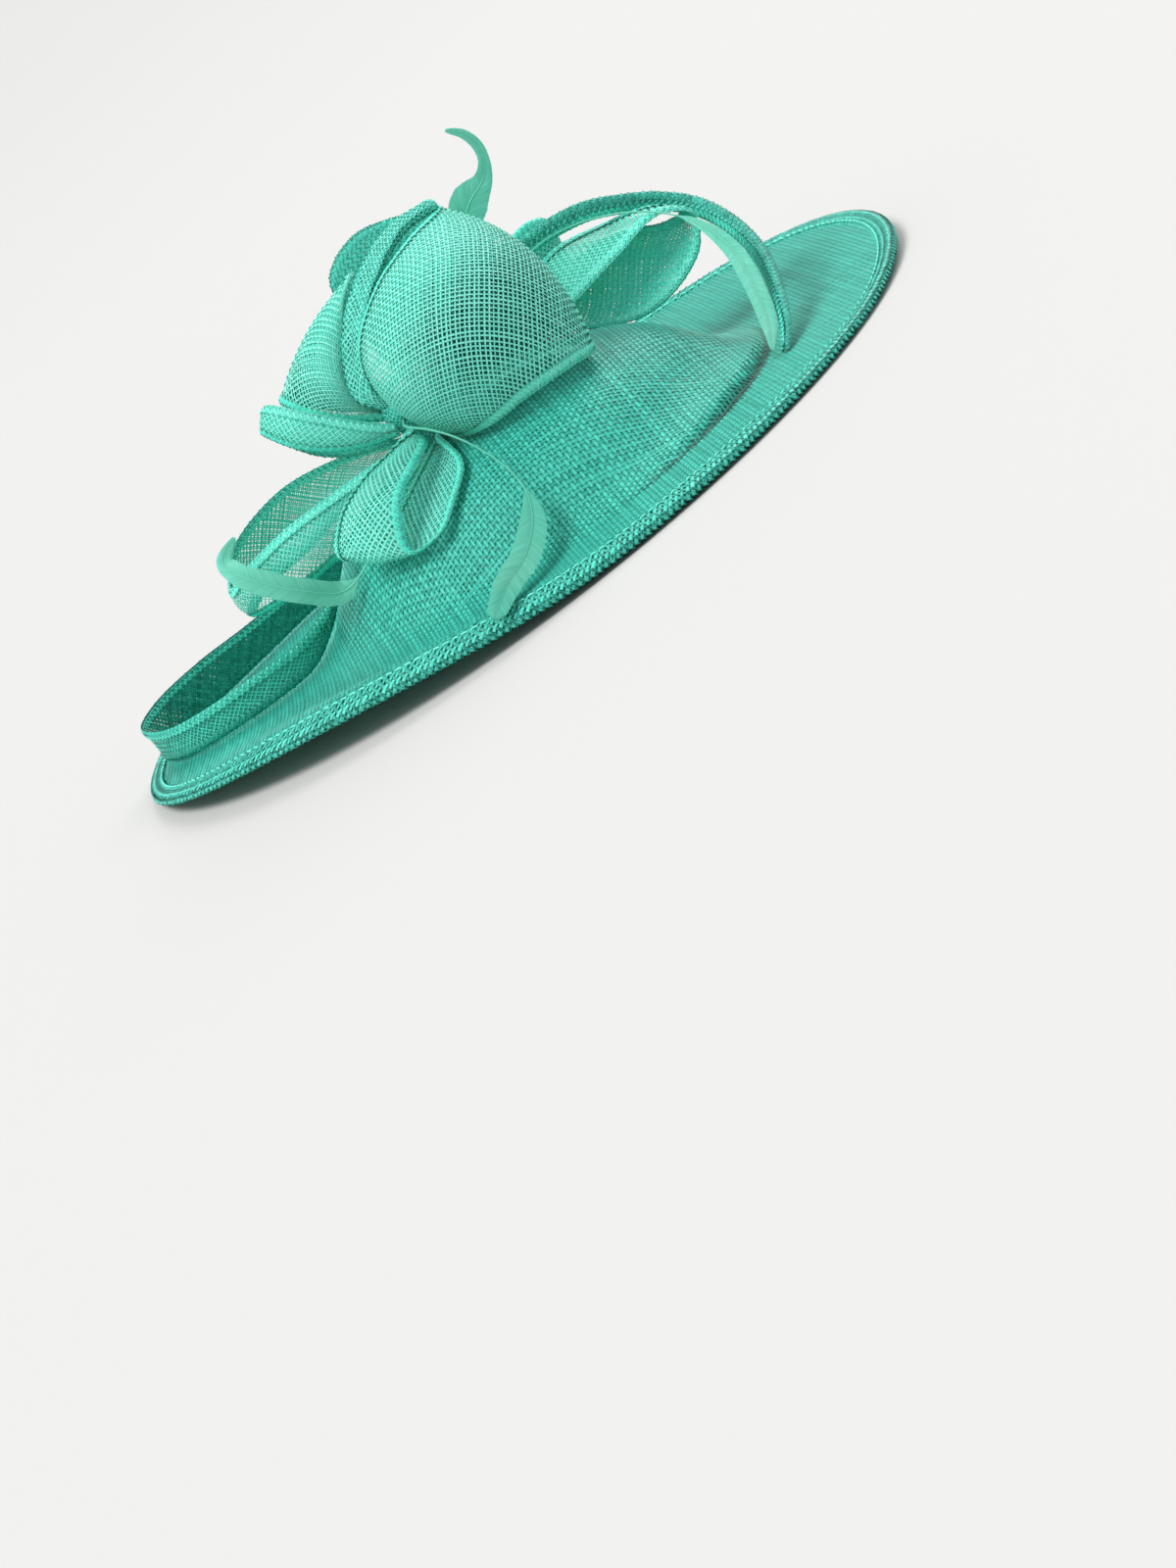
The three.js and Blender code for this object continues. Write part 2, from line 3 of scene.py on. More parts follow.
import bmesh
import bpy
import numpy as np
from mathutils import Matrix, Vector


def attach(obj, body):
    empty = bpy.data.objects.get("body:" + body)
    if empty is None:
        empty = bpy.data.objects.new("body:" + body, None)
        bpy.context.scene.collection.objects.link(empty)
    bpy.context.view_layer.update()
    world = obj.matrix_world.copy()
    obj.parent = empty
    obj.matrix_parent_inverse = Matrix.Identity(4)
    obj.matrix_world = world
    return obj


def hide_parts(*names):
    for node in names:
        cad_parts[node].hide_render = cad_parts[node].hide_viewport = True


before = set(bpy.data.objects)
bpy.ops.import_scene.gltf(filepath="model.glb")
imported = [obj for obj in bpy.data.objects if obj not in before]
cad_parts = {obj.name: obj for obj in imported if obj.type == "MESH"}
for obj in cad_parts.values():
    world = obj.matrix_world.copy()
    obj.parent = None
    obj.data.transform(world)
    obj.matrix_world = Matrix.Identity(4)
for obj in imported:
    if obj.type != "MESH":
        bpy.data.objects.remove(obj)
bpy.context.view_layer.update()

# Disc
# A saucer blocked from two plies of open plain-weave straw cloth, stiffened, with a round crown that
# rises towards the front and a low tuck at its foot. The plies share their grain, and the lower one
# lies half a mesh aside, so that it shows in the openings of the upper.
MM = 0.001
DISC_LENGTH, DISC_WIDTH, DISC_SHIFT = 400.0, 370.0, 1.0
DISC_LOW, DISC_HIGH, DISC_INSET = (-200.0, -186.0), (200.0, 187.0), 3.4
CROWN_X, CROWN_Y, CROWN_FOOT = 10.0, -35.0, 122.0
FOOT_HEIGHT, FOOT_RISE, FOOT_START = 4.0, 5.0, 80.0
# distance from the middle of the crown, and height
CROWN_PROFILE = np.array([
    (0, 56), (38, 52.6), (54, 48.8), (68, 43.2), (79, 36.5), (88, 28),
    (95, 19.5), (103, 11), (112, 6), (119, 4.3), (122, 4),
])
SLOPE_CENTRE, SLOPE_HALF, RIM_TILT = 240.0, 110.0, 40.0
# direction, half spread and height of each lift of the rim
RIM_LIFTS = ((222.0, 58.0, 10.0), (25.0, 60.0, 5.0))
TUCK_ANGLE, TUCK_HALF, TUCK_RADIUS, TUCK_LIFT = -38.0, 46.0, 112.0, 4.5
TUCK_REACH, TUCK_EDGE = 22.0, 4.0
BINDING_WIDTH, BINDING_THICK = 10.0, 4.2
DISC_PITCH, DISC_GRAIN, DISC_RISE = 1.9, 0.6, 0.16
# tone of the disc, then the painted highlight of one set of its strands, and painted light on the crossings
# on top with painted shade underneath
DISC_TONE, DISC_SET_HIGHLIGHT, DISC_CROSSING_SHADE = -0.1, 0.1, 0.1
# painted shadow: how much darker the fold under the edge of the tuck is, and the half width of that dark
# line
FOLD_SHADOW_TONE, FOLD_SHADOW_HALF = -1.1, 2.6


def ramp(value, start, end):
    """0 at start and before it, 1 at end and after it"""
    return np.clip((value - start) / (end - start), 0, 1)


def ease(share):
    """Share from 0 to 1 that starts and ends gently"""
    return share * share * (3 - 2 * share)


def hump(value, centre, half):
    """1 at the centre, falling gently to 0 at half to either side, for angles and short distances"""
    away = np.abs((value - centre + 180) % 360 - 180)
    return np.where(away < half, np.cos(np.clip(away / half, 0, 1) * np.pi / 2) ** 2, 0.0)


def even_spline(values, place):
    """Smooth line through evenly numbered values, held at its ends"""
    padded = np.concatenate([values[:1], values, values[-1:]])
    row = np.clip(place.astype(int), 0, len(values) - 2)
    f = place - row
    p0, p1, p2, p3 = (padded[row + k] for k in range(4))
    v0, v1 = (p2 - p0) / 2, (p3 - p1) / 2
    return (2 * p1 - 2 * p2 + v0 + v1) * f ** 3 + (3 * p2 - 3 * p1 - 2 * v0 - v1) * f ** 2 + v0 * f + p1


def unit(vectors):
    return vectors / np.maximum(np.linalg.norm(vectors, axis=-1, keepdims=True), 1e-9)


def around_crown(x, y):
    """Direction of a place from the middle of the crown, in degrees, and its distance"""
    return np.degrees(np.arctan2(y - CROWN_Y, x - CROWN_X)), np.hypot(x - CROWN_X, y - CROWN_Y)


def rim_distance(angle):
    """How far the oval rim is from the middle of the crown"""
    c, s = np.cos(np.radians(angle)), np.sin(np.radians(angle))
    a, b = DISC_LENGTH / 2, DISC_WIDTH / 2
    x, y = CROWN_X, CROWN_Y - DISC_SHIFT
    square = (c / a) ** 2 + (s / b) ** 2
    cross = x * c / a ** 2 + y * s / b ** 2
    rest = (x / a) ** 2 + (y / b) ** 2 - 1
    return (np.sqrt(cross ** 2 - square * rest) - cross) / square


def rim_point(angle, inward, up):
    """Distance and height of a point of the rim's section, which tilts and lifts with the rim"""
    tilt = np.radians(RIM_TILT * hump(angle, SLOPE_CENTRE, SLOPE_HALF))
    lift = sum(high * hump(angle, centre, half) for centre, half, high in RIM_LIFTS)
    out = rim_distance(angle) - inward * np.cos(tilt) + up * np.sin(tilt)
    return out, inward * np.sin(tilt) + up * np.cos(tilt) + lift


def disc_height(x, y):
    """Height of the cloth: crown with its tuck, then brim, then the straight part in the binding"""
    angle, r = around_crown(x, y)
    slope = FOOT_RISE * hump(angle, SLOPE_CENTRE, SLOPE_HALF)
    reach = np.where(r < TUCK_RADIUS, TUCK_REACH, TUCK_EDGE)
    tuck = TUCK_LIFT * hump(angle, TUCK_ANGLE, TUCK_HALF) * hump(r, TUCK_RADIUS, reach)
    row = np.interp(r, CROWN_PROFILE[:, 0], np.arange(len(CROWN_PROFILE)))
    crown = even_spline(CROWN_PROFILE[:, 1], row) + slope * ease(ramp(r, FOOT_START, CROWN_FOOT)) + tuck
    inner_r, inner_z = rim_point(angle, BINDING_WIDTH, BINDING_THICK / 2)
    outer_r, outer_z = rim_point(angle, 0.0, BINDING_THICK / 2)
    foot = FOOT_HEIGHT + slope
    brim = foot + (inner_z - foot) * ease(ramp(r, CROWN_FOOT, inner_r))
    rim = inner_z + (outer_z - inner_z) * (r - inner_r) / (outer_r - inner_r)
    return np.where(r <= CROWN_FOOT, crown, np.where(r > inner_r, rim, brim))


def disc_cloth(x, y):
    return np.stack([x, y, disc_height(x, y)], -1)


def disc_inside(x, y):
    """Whether the cloth is there: it ends inside the binding"""
    angle, r = around_crown(x, y)
    return r < rim_point(angle, DISC_INSET, BINDING_THICK / 2)[0]


def disc_shade(x, y):
    """Tone of the disc, with a painted shadow in the fold under the edge of the tuck"""
    angle, r = around_crown(x, y)
    # painted shadow along the fold under the tuck's edge
    fold = hump(angle, TUCK_ANGLE, TUCK_HALF) ** 0.5 * hump(r, TUCK_RADIUS + TUCK_EDGE, FOLD_SHADOW_HALF)
    return DISC_TONE + FOLD_SHADOW_TONE * fold


def strand_piece(name, points, faces, values, spots, finish, node):
    """Piece of many thin strips: points in mm, values and a spot on the map for each, and faces"""
    points, faces = np.concatenate(points), np.concatenate(faces)
    mesh = bpy.data.meshes.new(name)
    mesh.from_pydata(points * MM, [], faces)
    mesh.polygons.foreach_set("use_smooth", np.ones(len(faces), bool))
    for label, numbers in values.items():
        attribute = mesh.attributes.new(label, "FLOAT", "POINT")
        attribute.data.foreach_set("value", np.concatenate(numbers).astype(np.float32))
    strand_map = mesh.uv_layers.new(name="OFBake")
    strand_map.data.foreach_set("uv", spots[faces.ravel()].astype(np.float32).ravel())
    mesh.materials.append(finish)
    piece = bpy.data.objects.new(name, mesh)
    bpy.context.scene.collection.objects.link(piece)
    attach(piece, "root")
    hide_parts(node)
    return piece


class Weave:
    """Strands of plain weave laid over surfaces, gathered into the mesh of one piece"""

    # how unlike the strands are in tone, width and place, the last two as shares
    MIDDLE_TONE, TONE_SPREAD, WIDTH_SPREAD, SWAY_SPREAD = 0.5, 0.05, 0.1, 0.05
    WIDTH_LEAST, WIDTH_MOST = 0.7, 1.3
    # waves of width and of tone along a strand: height, turn for each mm, turn from strand to strand
    SLUB_HEIGHT, SLUB_TURN, SLUB_STEP = 0.12, 0.21, 2.4
    CLOUD_HEIGHT, CLOUD_TURN, CLOUD_STEP = 0.06, 0.09, 1.7
    THINNEST, PROBE, LANE_HALF = 0.05, 0.05, 0.32
    STITCH_ENDS, STITCH_TONE, STITCH_SPREAD, STITCH_PROBE, STITCH_LANE = 0.12, 1.15, 0.1, 0.1, 0.3

    def __init__(self, seed):
        self.dice = np.random.default_rng(seed)
        self.points, self.faces, self.tones, self.sides, self.spots = [], [], [], [], []
        self.count = 0
        self.layers = 0

    def lay(self, cloth, low, high, pitch, ribbon, turn=0.0, rise=0.22, lift=0.0, shift=0.0,
            keep=None, shade=0.0, set_highlight=0.0, relief=0.16):
        """Covers the flat patch from low to high, in mm, with strands along and across the turned grain

        ribbon is a strand's width and shift the grid's own place, as shares of the pitch. rise is how
        far a strand goes over and under. keep thins the strands away where it falls from 1 to 0.
        shade is a tone of all strands. The tone after it is a painted highlight of the one set of strands
        against the other, and relief paints light on the strands on top at each crossing and shade on those
        underneath. keep is a function of the place, and so may be shade and the painted highlight.
        """
        low, high = np.array(low, float), np.array(high, float)
        middle, reach = (low + high) / 2, np.linalg.norm(high - low) / 2
        n = int(reach / pitch) + 2
        lanes = 2 * n + 1
        i, j = np.meshgrid(np.arange(-n, n + 1), np.arange(-n, n + 1), indexing="ij")
        c, s = math.cos(math.radians(turn)), math.sin(math.radians(turn))
        x = middle[0] + pitch * ((i + shift) * c - (j + shift) * s)
        y = middle[1] + pitch * ((i + shift) * s + (j + shift) * c)
        kept = (x >= low[0]) & (x <= high[0]) & (y >= low[1]) & (y <= high[1])
        full = np.ones(kept.shape) if keep is None else keep(x, y) * 1.0
        kept &= full > self.THINNEST
        number = np.full(kept.shape, -1)
        number[kept] = np.arange(kept.sum())
        x, y, i, j, full = (values[kept] for values in (x, y, i, j, full))
        shade, set_highlight = (value(x, y) if callable(value) else value for value in (shade, set_highlight))
        here = cloth(x, y)
        along = (cloth(x + self.PROBE * c, y + self.PROBE * s) - here) / self.PROBE
        over = (cloth(x - self.PROBE * s, y + self.PROBE * c) - here) / self.PROBE
        normal = unit(np.cross(along, over))
        top = np.where((i + j) % 2 == 0, 1.0, -1.0)
        tones = self.dice.normal(self.MIDDLE_TONE, self.TONE_SPREAD, (2, lanes))
        plump = self.dice.normal(1.0, self.WIDTH_SPREAD, (2, lanes)).clip(self.WIDTH_LEAST, self.WIDTH_MOST)
        sway = self.dice.normal(0.0, self.SWAY_SPREAD, (2, lanes)) * pitch
        for family, sign, strand, place, spread, first, second in (
            (0, 1.0, j, i, over, number[:-1], number[1:]),
            (1, -1.0, i, j, along, number[:, :-1], number[:, 1:]),
        ):
            lane, flow = strand + n, place * pitch
            slub = 1 + self.SLUB_HEIGHT * np.sin(flow * self.SLUB_TURN + lane * self.SLUB_STEP)
            half = ribbon * pitch / 2 * plump[family][lane] * slub * full
            height = lift + sign * top * rise
            centre = here + normal * height[:, None] + spread * sway[family][lane][:, None]
            cloud = self.CLOUD_HEIGHT * np.sin(flow * self.CLOUD_TURN + lane * self.CLOUD_STEP)
            # painted light and shade: one set of strands lightened against the other as a painted highlight,
            # and the strand on top at a crossing lighter than the one under it
            tone = tones[family][lane] + cloud + shade - sign * set_highlight + relief * sign * top
            for edge in (-1.0, 1.0):
                self.points.append(centre + spread * (edge * half)[:, None])
                self.tones.append(tone)
                self.sides.append(np.full(len(x), edge))
                u = 0.5 + flow / (lanes * pitch)
                v = (lane + 0.5 + self.LANE_HALF * edge) / lanes
                self.spots.append(np.stack([u, v + 2 * self.layers + family], -1))
            both = (first >= 0) & (second >= 0)
            first, second, m = first[both], second[both], len(x)
            quads = np.stack([first, second, second + m, first + m], -1) + self.count
            self.faces.append(quads if family == 1 else quads[:, ::-1])
            self.count += 2 * m
        self.layers += 1

    def sew(self, cloth, starts, over, long, wide, lift):
        """Row of straight stitches, each a low arch of thread: lift is below 0 where the cloth faces down"""
        m = len(starts)
        tone = self.dice.normal(self.STITCH_TONE, self.STITCH_SPREAD, m)
        row = np.full(m, over)
        shares = np.linspace(0, 1, 5)
        for share in shares:
            place = starts + share * long
            here = cloth(place, row)
            across = cloth(place, row + self.STITCH_PROBE) - here
            normal = unit(np.cross(cloth(place + self.STITCH_PROBE, row) - here, across))
            arch = lift * math.sin(math.pi * (self.STITCH_ENDS + (1 - 2 * self.STITCH_ENDS) * share))
            for edge in (-1.0, 1.0):
                self.points.append(here + normal * arch + unit(across) * (edge * wide / 2))
                self.tones.append(tone)
                self.sides.append(np.full(m, edge))
                lane = (np.arange(m) + 0.5 + self.STITCH_LANE * edge) / m
                self.spots.append(np.stack([np.full(m, share), lane + 2 * self.layers], -1))
        for k in range(len(shares) - 1):
            a = self.count + 2 * k * m + np.arange(m)
            self.faces.append(np.stack([a, a + m, a + 3 * m, a + 2 * m], -1))
        self.count += 2 * m * len(shares)
        self.layers += 1

    def piece(self, name, finish, node, slot):
        spots = np.concatenate(self.spots)
        spots[:, 1] /= 2 * self.layers
        values = {"strand": self.tones, "side": self.sides}
        return strand_piece(name, self.points, self.faces, values, spots, finish, node)


def cloth_area(cloth, low, high, keep=None):
    """Area of the surface over the flat patch, in square metres"""
    steps = (240, 120)
    x, y = np.meshgrid(*(np.linspace(low[k], high[k], steps[k]) for k in (0, 1)), indexing="ij")
    p = cloth(x.ravel(), y.ravel()).reshape(*steps, 3)
    cells = np.linalg.norm(np.cross(p[1:, :-1] - p[:-1, :-1], p[:-1, 1:] - p[:-1, :-1]), axis=2)
    if keep is not None:
        cells = cells * keep(x[:-1, :-1], y[:-1, :-1])
    return float(cells.sum()) * MM * MM


class Mix:
    """A value or colour in a finish: arithmetic on it adds the nodes"""

    def __init__(self, tree, socket):
        self.tree, self.socket = tree, socket

    def node(self, kind, settings, inputs, output=0):
        """One output of a new node with these settings, and values or links at its inputs"""
        made = self.tree.nodes.new(kind)
        for key, value in settings.items():
            setattr(made, key, value)
        for key, value in inputs.items():
            if isinstance(value, Mix):
                self.tree.links.new(value.socket, made.inputs[key])
            else:
                made.inputs[key].default_value = value
        return Mix(self.tree, made.outputs[output])

    def math(self, operation, a, b):
        return self.node("ShaderNodeMath", {"operation": operation}, {0: a, 1: b})

    def __add__(self, other):
        return self.math("ADD", self, other)

    def __radd__(self, other):
        return self.math("ADD", other, self)

    def __sub__(self, other):
        return self.math("SUBTRACT", self, other)

    def __rsub__(self, other):
        return self.math("SUBTRACT", other, self)

    def __mul__(self, other):
        return self.math("MULTIPLY", self, other)

    def __rmul__(self, other):
        return self.math("MULTIPLY", other, self)

    def between(self, low, high):
        """Colour from low to high as the value goes from 0 to 1"""
        return self.node("ShaderNodeMix", {"data_type": "RGBA"}, {0: self, 6: low, 7: high}, 2)

    def feed(self, shader, name):
        self.tree.links.new(self.socket, shader.inputs[name])


def colour(red, green, blue):
    """Colour from 0 to 255 as seen, as light"""
    seen = np.array([red, green, blue]) / 255
    light = np.where(seen <= 0.04045, seen / 12.92, ((seen + 0.055) / 1.055) ** 2.4)
    return (*light.tolist(), 1.0)


def new_finish(name):
    """New material, its shader, and a start for its nodes"""
    made = bpy.data.materials.new(name)
    made.use_nodes = True
    return made, made.node_tree.nodes["Principled BSDF"], Mix(made.node_tree, None)


# colours at tones -1, 0, 1 and 2; deep, at -1, is reached where painted shade takes the tone below 0, as in
# the fold under the tuck and the ball's far lining
STRAW_TONES = ((0, 30, 26), (0, 112, 95), (90, 236, 212), (162, 252, 232))
STRAW_ROUGHNESS, STRAW_SPECULAR = 0.42, 0.18
FIBRE_SCALE, FIBRE_TONE, FIBRE_ROUGHNESS, FIBRE_BUMP = (60.0, 2600.0, 1.0), 0.45, 0.25, 0.4
# painted shade at the edges of each strand and painted light along its middle, and the middle of that ramp
ROUND_PAINTED_SHADE, ROUND_MIDDLE = 0.35, 0.6
BUMP_STRENGTH, BUMP_DEPTH = 0.6, 0.0003


def straw_finish(name, tones):
    """Dyed straw fibre, streaked along each strand, with painted shade at its edges and painted light along
    its middle, in the colours of tones -1, 0, 1 and 2
    """
    made, shader, start = new_finish(name)
    deep, dark, light, pale = (colour(*tone) for tone in tones)
    strand = start.node("ShaderNodeAttribute", {"attribute_name": "strand"}, {}, "Fac")
    side = start.node("ShaderNodeAttribute", {"attribute_name": "side"}, {}, "Fac")
    spot = start.node("ShaderNodeUVMap", {"uv_map": "OFBake"}, {})
    streak = start.node("ShaderNodeMapping", {}, {"Vector": spot, "Scale": FIBRE_SCALE})
    fibre = start.node("ShaderNodeTexNoise", {}, {"Vector": streak, "Scale": 1.0, "Detail": 2.0})
    roundness = 1.0 - side * side
    # painted shade at each strand's edges, painted light along its middle
    tone = strand + FIBRE_TONE * (fibre - 0.5) + ROUND_PAINTED_SHADE * (roundness - ROUND_MIDDLE)
    dye = (tone - 1.0).between(tone.between((tone + 1.0).between(deep, dark), light), pale)
    dye.feed(shader, "Base Color")
    (STRAW_ROUGHNESS + FIBRE_ROUGHNESS * (fibre - 0.5)).feed(shader, "Roughness")
    relief = {"Height": roundness + FIBRE_BUMP * fibre, "Strength": BUMP_STRENGTH, "Distance": BUMP_DEPTH}
    start.node("ShaderNodeBump", {}, relief).feed(shader, "Normal")
    shader.inputs["Specular IOR Level"].default_value = STRAW_SPECULAR
    return made


straw = straw_finish("dyed_straw", STRAW_TONES)
disc_area = cloth_area(disc_cloth, DISC_LOW, DISC_HIGH, disc_inside)
for name, seed, ribbon, lift, shift in (
    ("disc_upper_ply", 3, 0.7, 0.3, 0.0), ("disc_under_ply", 4, 0.77, -0.25, 0.5),
):
    weave = Weave(seed)
    weave.lay(
        disc_cloth, DISC_LOW, DISC_HIGH, DISC_PITCH, ribbon, DISC_GRAIN, DISC_RISE, lift, shift,
        keep=disc_inside, shade=disc_shade, set_highlight=DISC_SET_HIGHLIGHT, relief=DISC_CROSSING_SHADE,
    )
    ply = weave.piece(name, straw, "disc", "straw")

# Edge binding
# A bias strip of the same cloth in two plies, folded over the rim and stitched down, so that its
# threads run slantwise. The stitches are one line of paler thread on the upper face.
BIAS = 45.0
# way in from the rim, and height, from the upper edge round the nose to the lower edge
BINDING_SECTION = np.array([
    (10.5, 1.9), (9, 2.9), (7, 3.4), (4, 4.0), (2, 4.1), (0.6, 3.5),
    (0, 2.2), (0.6, 1.1), (2, 0.7), (6, 0.8), (10, 1.2),
])
BINDING_ROUND, BINDING_START, BINDING_PITCH = 1215.0, 90.0, 2.6
# NOSE_ROWS are the section's points where the painted highlight of one set of slanting threads changes:
# faint on the faces, strong round the nose
NOSE_ROWS, SLANT_FAINT, SLANT_STRONG = [2, 4, 6, 8], 0.08, 0.36
EDGE_TONES = ((0, 28, 24), (0, 100, 84), (96, 236, 212), (162, 252, 232))
STITCH_LONG, STITCH_GAP, STITCH_IN, STITCH_WIDE, STITCH_RISE = 3.4, 1.8, 8.2, 1.0, 0.7


def length_along(points):
    """Length of a line of points as far as each of them"""
    return np.concatenate([[0], np.cumsum(np.linalg.norm(np.diff(points, axis=0), axis=1))])


binding_run = length_along(BINDING_SECTION)
binding_high = (BINDING_ROUND, binding_run[-1])


def binding_cloth(along, over):
    angle = BINDING_START + 360 * along / BINDING_ROUND
    inward, up = (np.interp(over, binding_run, BINDING_SECTION[:, k]) for k in (0, 1))
    r, z = rim_point(angle, inward, up)
    turn = np.radians(angle)
    return np.stack([CROWN_X + r * np.cos(turn), CROWN_Y + r * np.sin(turn), z], -1)


def binding_set_highlight(along, over):
    """Painted highlight of one set of slanting threads against the other, strongest round the nose"""
    strengths = (SLANT_FAINT, SLANT_STRONG, SLANT_STRONG, SLANT_FAINT)
    return np.interp(over, binding_run[NOSE_ROWS], strengths)


edge_straw = straw_finish("dyed_straw_edge", EDGE_TONES)
weave = Weave(5)
weave.lay(
    binding_cloth, (0, 0), binding_high, BINDING_PITCH, 0.6, BIAS,
    rise=0.16, shade=0.1, set_highlight=binding_set_highlight, relief=0.2,
)
# the lower ply is darker than the upper: painted shade in the openings of the upper ply
weave.lay(
    binding_cloth, (0, 0), binding_high, BINDING_PITCH, 0.7, BIAS,
    rise=0.1, lift=0.4, shift=0.5, shade=-0.5,
)
stitch_starts = np.arange(0, BINDING_ROUND - STITCH_LONG, STITCH_LONG + STITCH_GAP)
stitch_over = float(np.interp(-STITCH_IN, -BINDING_SECTION[:5, 0], binding_run[:5]))
weave.sew(binding_cloth, stitch_starts, stitch_over, STITCH_LONG, STITCH_WIDE, -STITCH_RISE)
binding = weave.piece("binding_cloth", edge_straw, "edge_binding", "straw_edge")

# Loops and bands of the bow
# Strips of the cloth cut on the bias with their edges folded under as hems, each bent round into a
# loop and gathered at its ends. A row gives the strip's two edges and how far it bellies between.
BALL_ROWS = (
    ((-3.8, -63.9, 61), (-4.4, -64.4, 74), 0),
    ((1, -77, 55), (-15, -66, 86), 5),
    ((11, -89, 53), (-12, -61, 104), 16),
    ((30, -92, 53.5), (8, -50, 118), 24),
    ((50, -87, 51.5), (30, -37, 124), 22),
    ((63, -76, 49), (49, -21, 126), 13),
    ((57, -52, 53), (38, -9, 130), 8),
    ((40, -32, 55.7), (15, -8, 136), 5),
    ((18, -33, 58), (-4, -12, 128), 3),
    ((4, -40, 59), (-6, -28, 100), 1),
    ((-2.6, -49.8, 61), (-3, -49.2, 73.5), 0),
)
PUFF_ROWS = (
    ((-16.6, -49, 77.5), (-18.9, -52.2, 73), 0),
    ((-20.5, -46, 91), (-30, -50.5, 80), 3),
    ((-14.5, -43, 107), (-41, -46, 90), 5),
    ((-4, -35, 120), (-48, -38, 98), 5),
    ((6, -25, 126), (-51, -28, 103), 4.5),
    ((-10, -19, 119), (-47, -19, 98), 3),
    ((-16, -19, 98), (-36, -22, 86), 4),
    ((-12, -36, 80), (-20, -38, 75), 1),
    ((-11.5, -46.4, 74), (-14.6, -47.4, 68), 0),
)
SIDE_ROWS = (
    ((-18.2, -61.2, 72), (-18.7, -60.3, 66.5), 0),
    ((-27, -60, 79.5), (-32.5, -58, 71), 2),
    ((-36, -57.5, 88.5), (-46.5, -55, 78.5), 3),
    ((-46, -53, 99), (-57.5, -50, 88.5), 3),
    ((-55.5, -42, 107), (-64, -41, 98), 2),
    ((-56.5, -35, 99), (-61, -36, 91), 2),
    ((-46, -37.5, 84.5), (-50, -39, 76), 2),
    ((-33, -44, 75), (-35, -45, 67.5), 1),
    ((-19.2, -52.8, 71.5), (-19.2, -53, 66), 0),
)
LOWER_LEFT_ROWS = (
    ((-16.6, -63.2, 63.5), (-16.6, -63.2, 57.4), 0),
    ((-33, -65.5, 65), (-34, -65, 54), 2),
    ((-55, -66, 66), (-58, -65, 46), 4),
    ((-80, -64, 66), (-83, -62, 42), 5),
    ((-103, -57, 62), (-102, -55, 42), 4),
    ((-114, -42, 57), (-113, -42, 42), 3),
    ((-104, -25, 67), (-102, -26, 45), 4),
    ((-75, -19, 73), (-78, -20, 46), 4),
    ((-45, -29, 70), (-46, -29, 54), 3),
    ((-17.6, -50, 63.5), (-17.6, -50, 57.4), 0),
)
FRONT_ROWS = (
    ((-13.6, -64.7, 68), (-11.6, -65.4, 62.5), 0),
    ((-28, -73, 66), (-12, -78, 61), 2),
    ((-46, -79, 64), (-21, -89, 58.5), 3),
    ((-60, -83, 58), (-34, -100, 53), 4),
    ((-68, -87, 49), (-42, -109, 36.5), 4),
    ((-58, -89, 43.5), (-29, -113.5, 35.5), 2),
    ((-42, -86, 47), (-17, -108, 41.5), 1),
    ((-25, -77, 53), (-6, -97, 48.5), 0.5),
    ((-9.6, -65.8, 58), (-6.8, -65.4, 59.5), 0),
)
RIGHT_ROWS = (
    ((46, 4, 50.6), (47, 16, 52), 0),
    ((60, 0, 55), (60, 25, 69), 1),
    ((78, -1, 57.5), (80, 30, 75.5), 2),
    ((100, 0, 61), (103, 29, 71.5), 2),
    ((124, 2, 63.5), (125, 16, 66), 1),
    ((136, 4, 54.5), (133.5, 13.5, 57), 1),
    ((130, 0, 42.5), (126, 17, 57), 1),
    ((112, -2, 34.5), (106, 26, 65), 2),
    ((94, -1, 33.5), (86, 26, 66), 2),
    ((80, 2, 38.4), (72, 23, 61), 1),
    ((69, 2, 44.6), (62, 20, 55.5), 0),
)
BACK_ROWS = (
    ((4, 2, 54.4), (3, 3, 66), 0),
    ((28, 23, 52), (27, 23, 78), 3),
    ((55, 37, 52), (55, 37, 86), 3),
    ((76, 43, 56), (78, 43, 90), 2),
    ((84, 51, 58), (87, 51, 86), 2),
    ((70, 58, 50), (72, 58, 84), 3),
    ((40, 52, 46), (40, 52, 76), 4),
    ((12, 36, 47), (12, 36, 66), 2),
    ((-4, 16, 50.4), (-4, 15, 62), 0),
)
BAND_RIGHT_ROWS = (
    ((31, 17, 50.2), (37, 22, 50), 0),
    ((42, 22, 64), (36.5, 21, 68), 0),
    ((57, 25.5, 77), (53, 25.5, 84), 1),
    ((75, 26, 80), (74, 26, 88.5), 1),
    ((98, 22, 77.5), (101, 22, 85.5), 1),
    ((114, 26, 70), (118, 26, 77), 1),
    ((127, 26, 62), (132, 26, 68), 1),
    ((137, 19, 52.5), (143.5, 18, 57), 1),
    ((142, 0, 42.5), (149, -1, 45.5), 1),
    ((142.5, -22, 32), (149.5, -23, 34), 1),
    ((139, -44, 24), (145.5, -46, 25.5), 1),
    ((134, -64, 17.5), (139.5, -67, 18.5), 0.5),
    ((127.5, -83, 10.5), (131.5, -86, 10.5), 0),
    ((121, -96, 5.8), (123.5, -98, 5.8), 0),
)
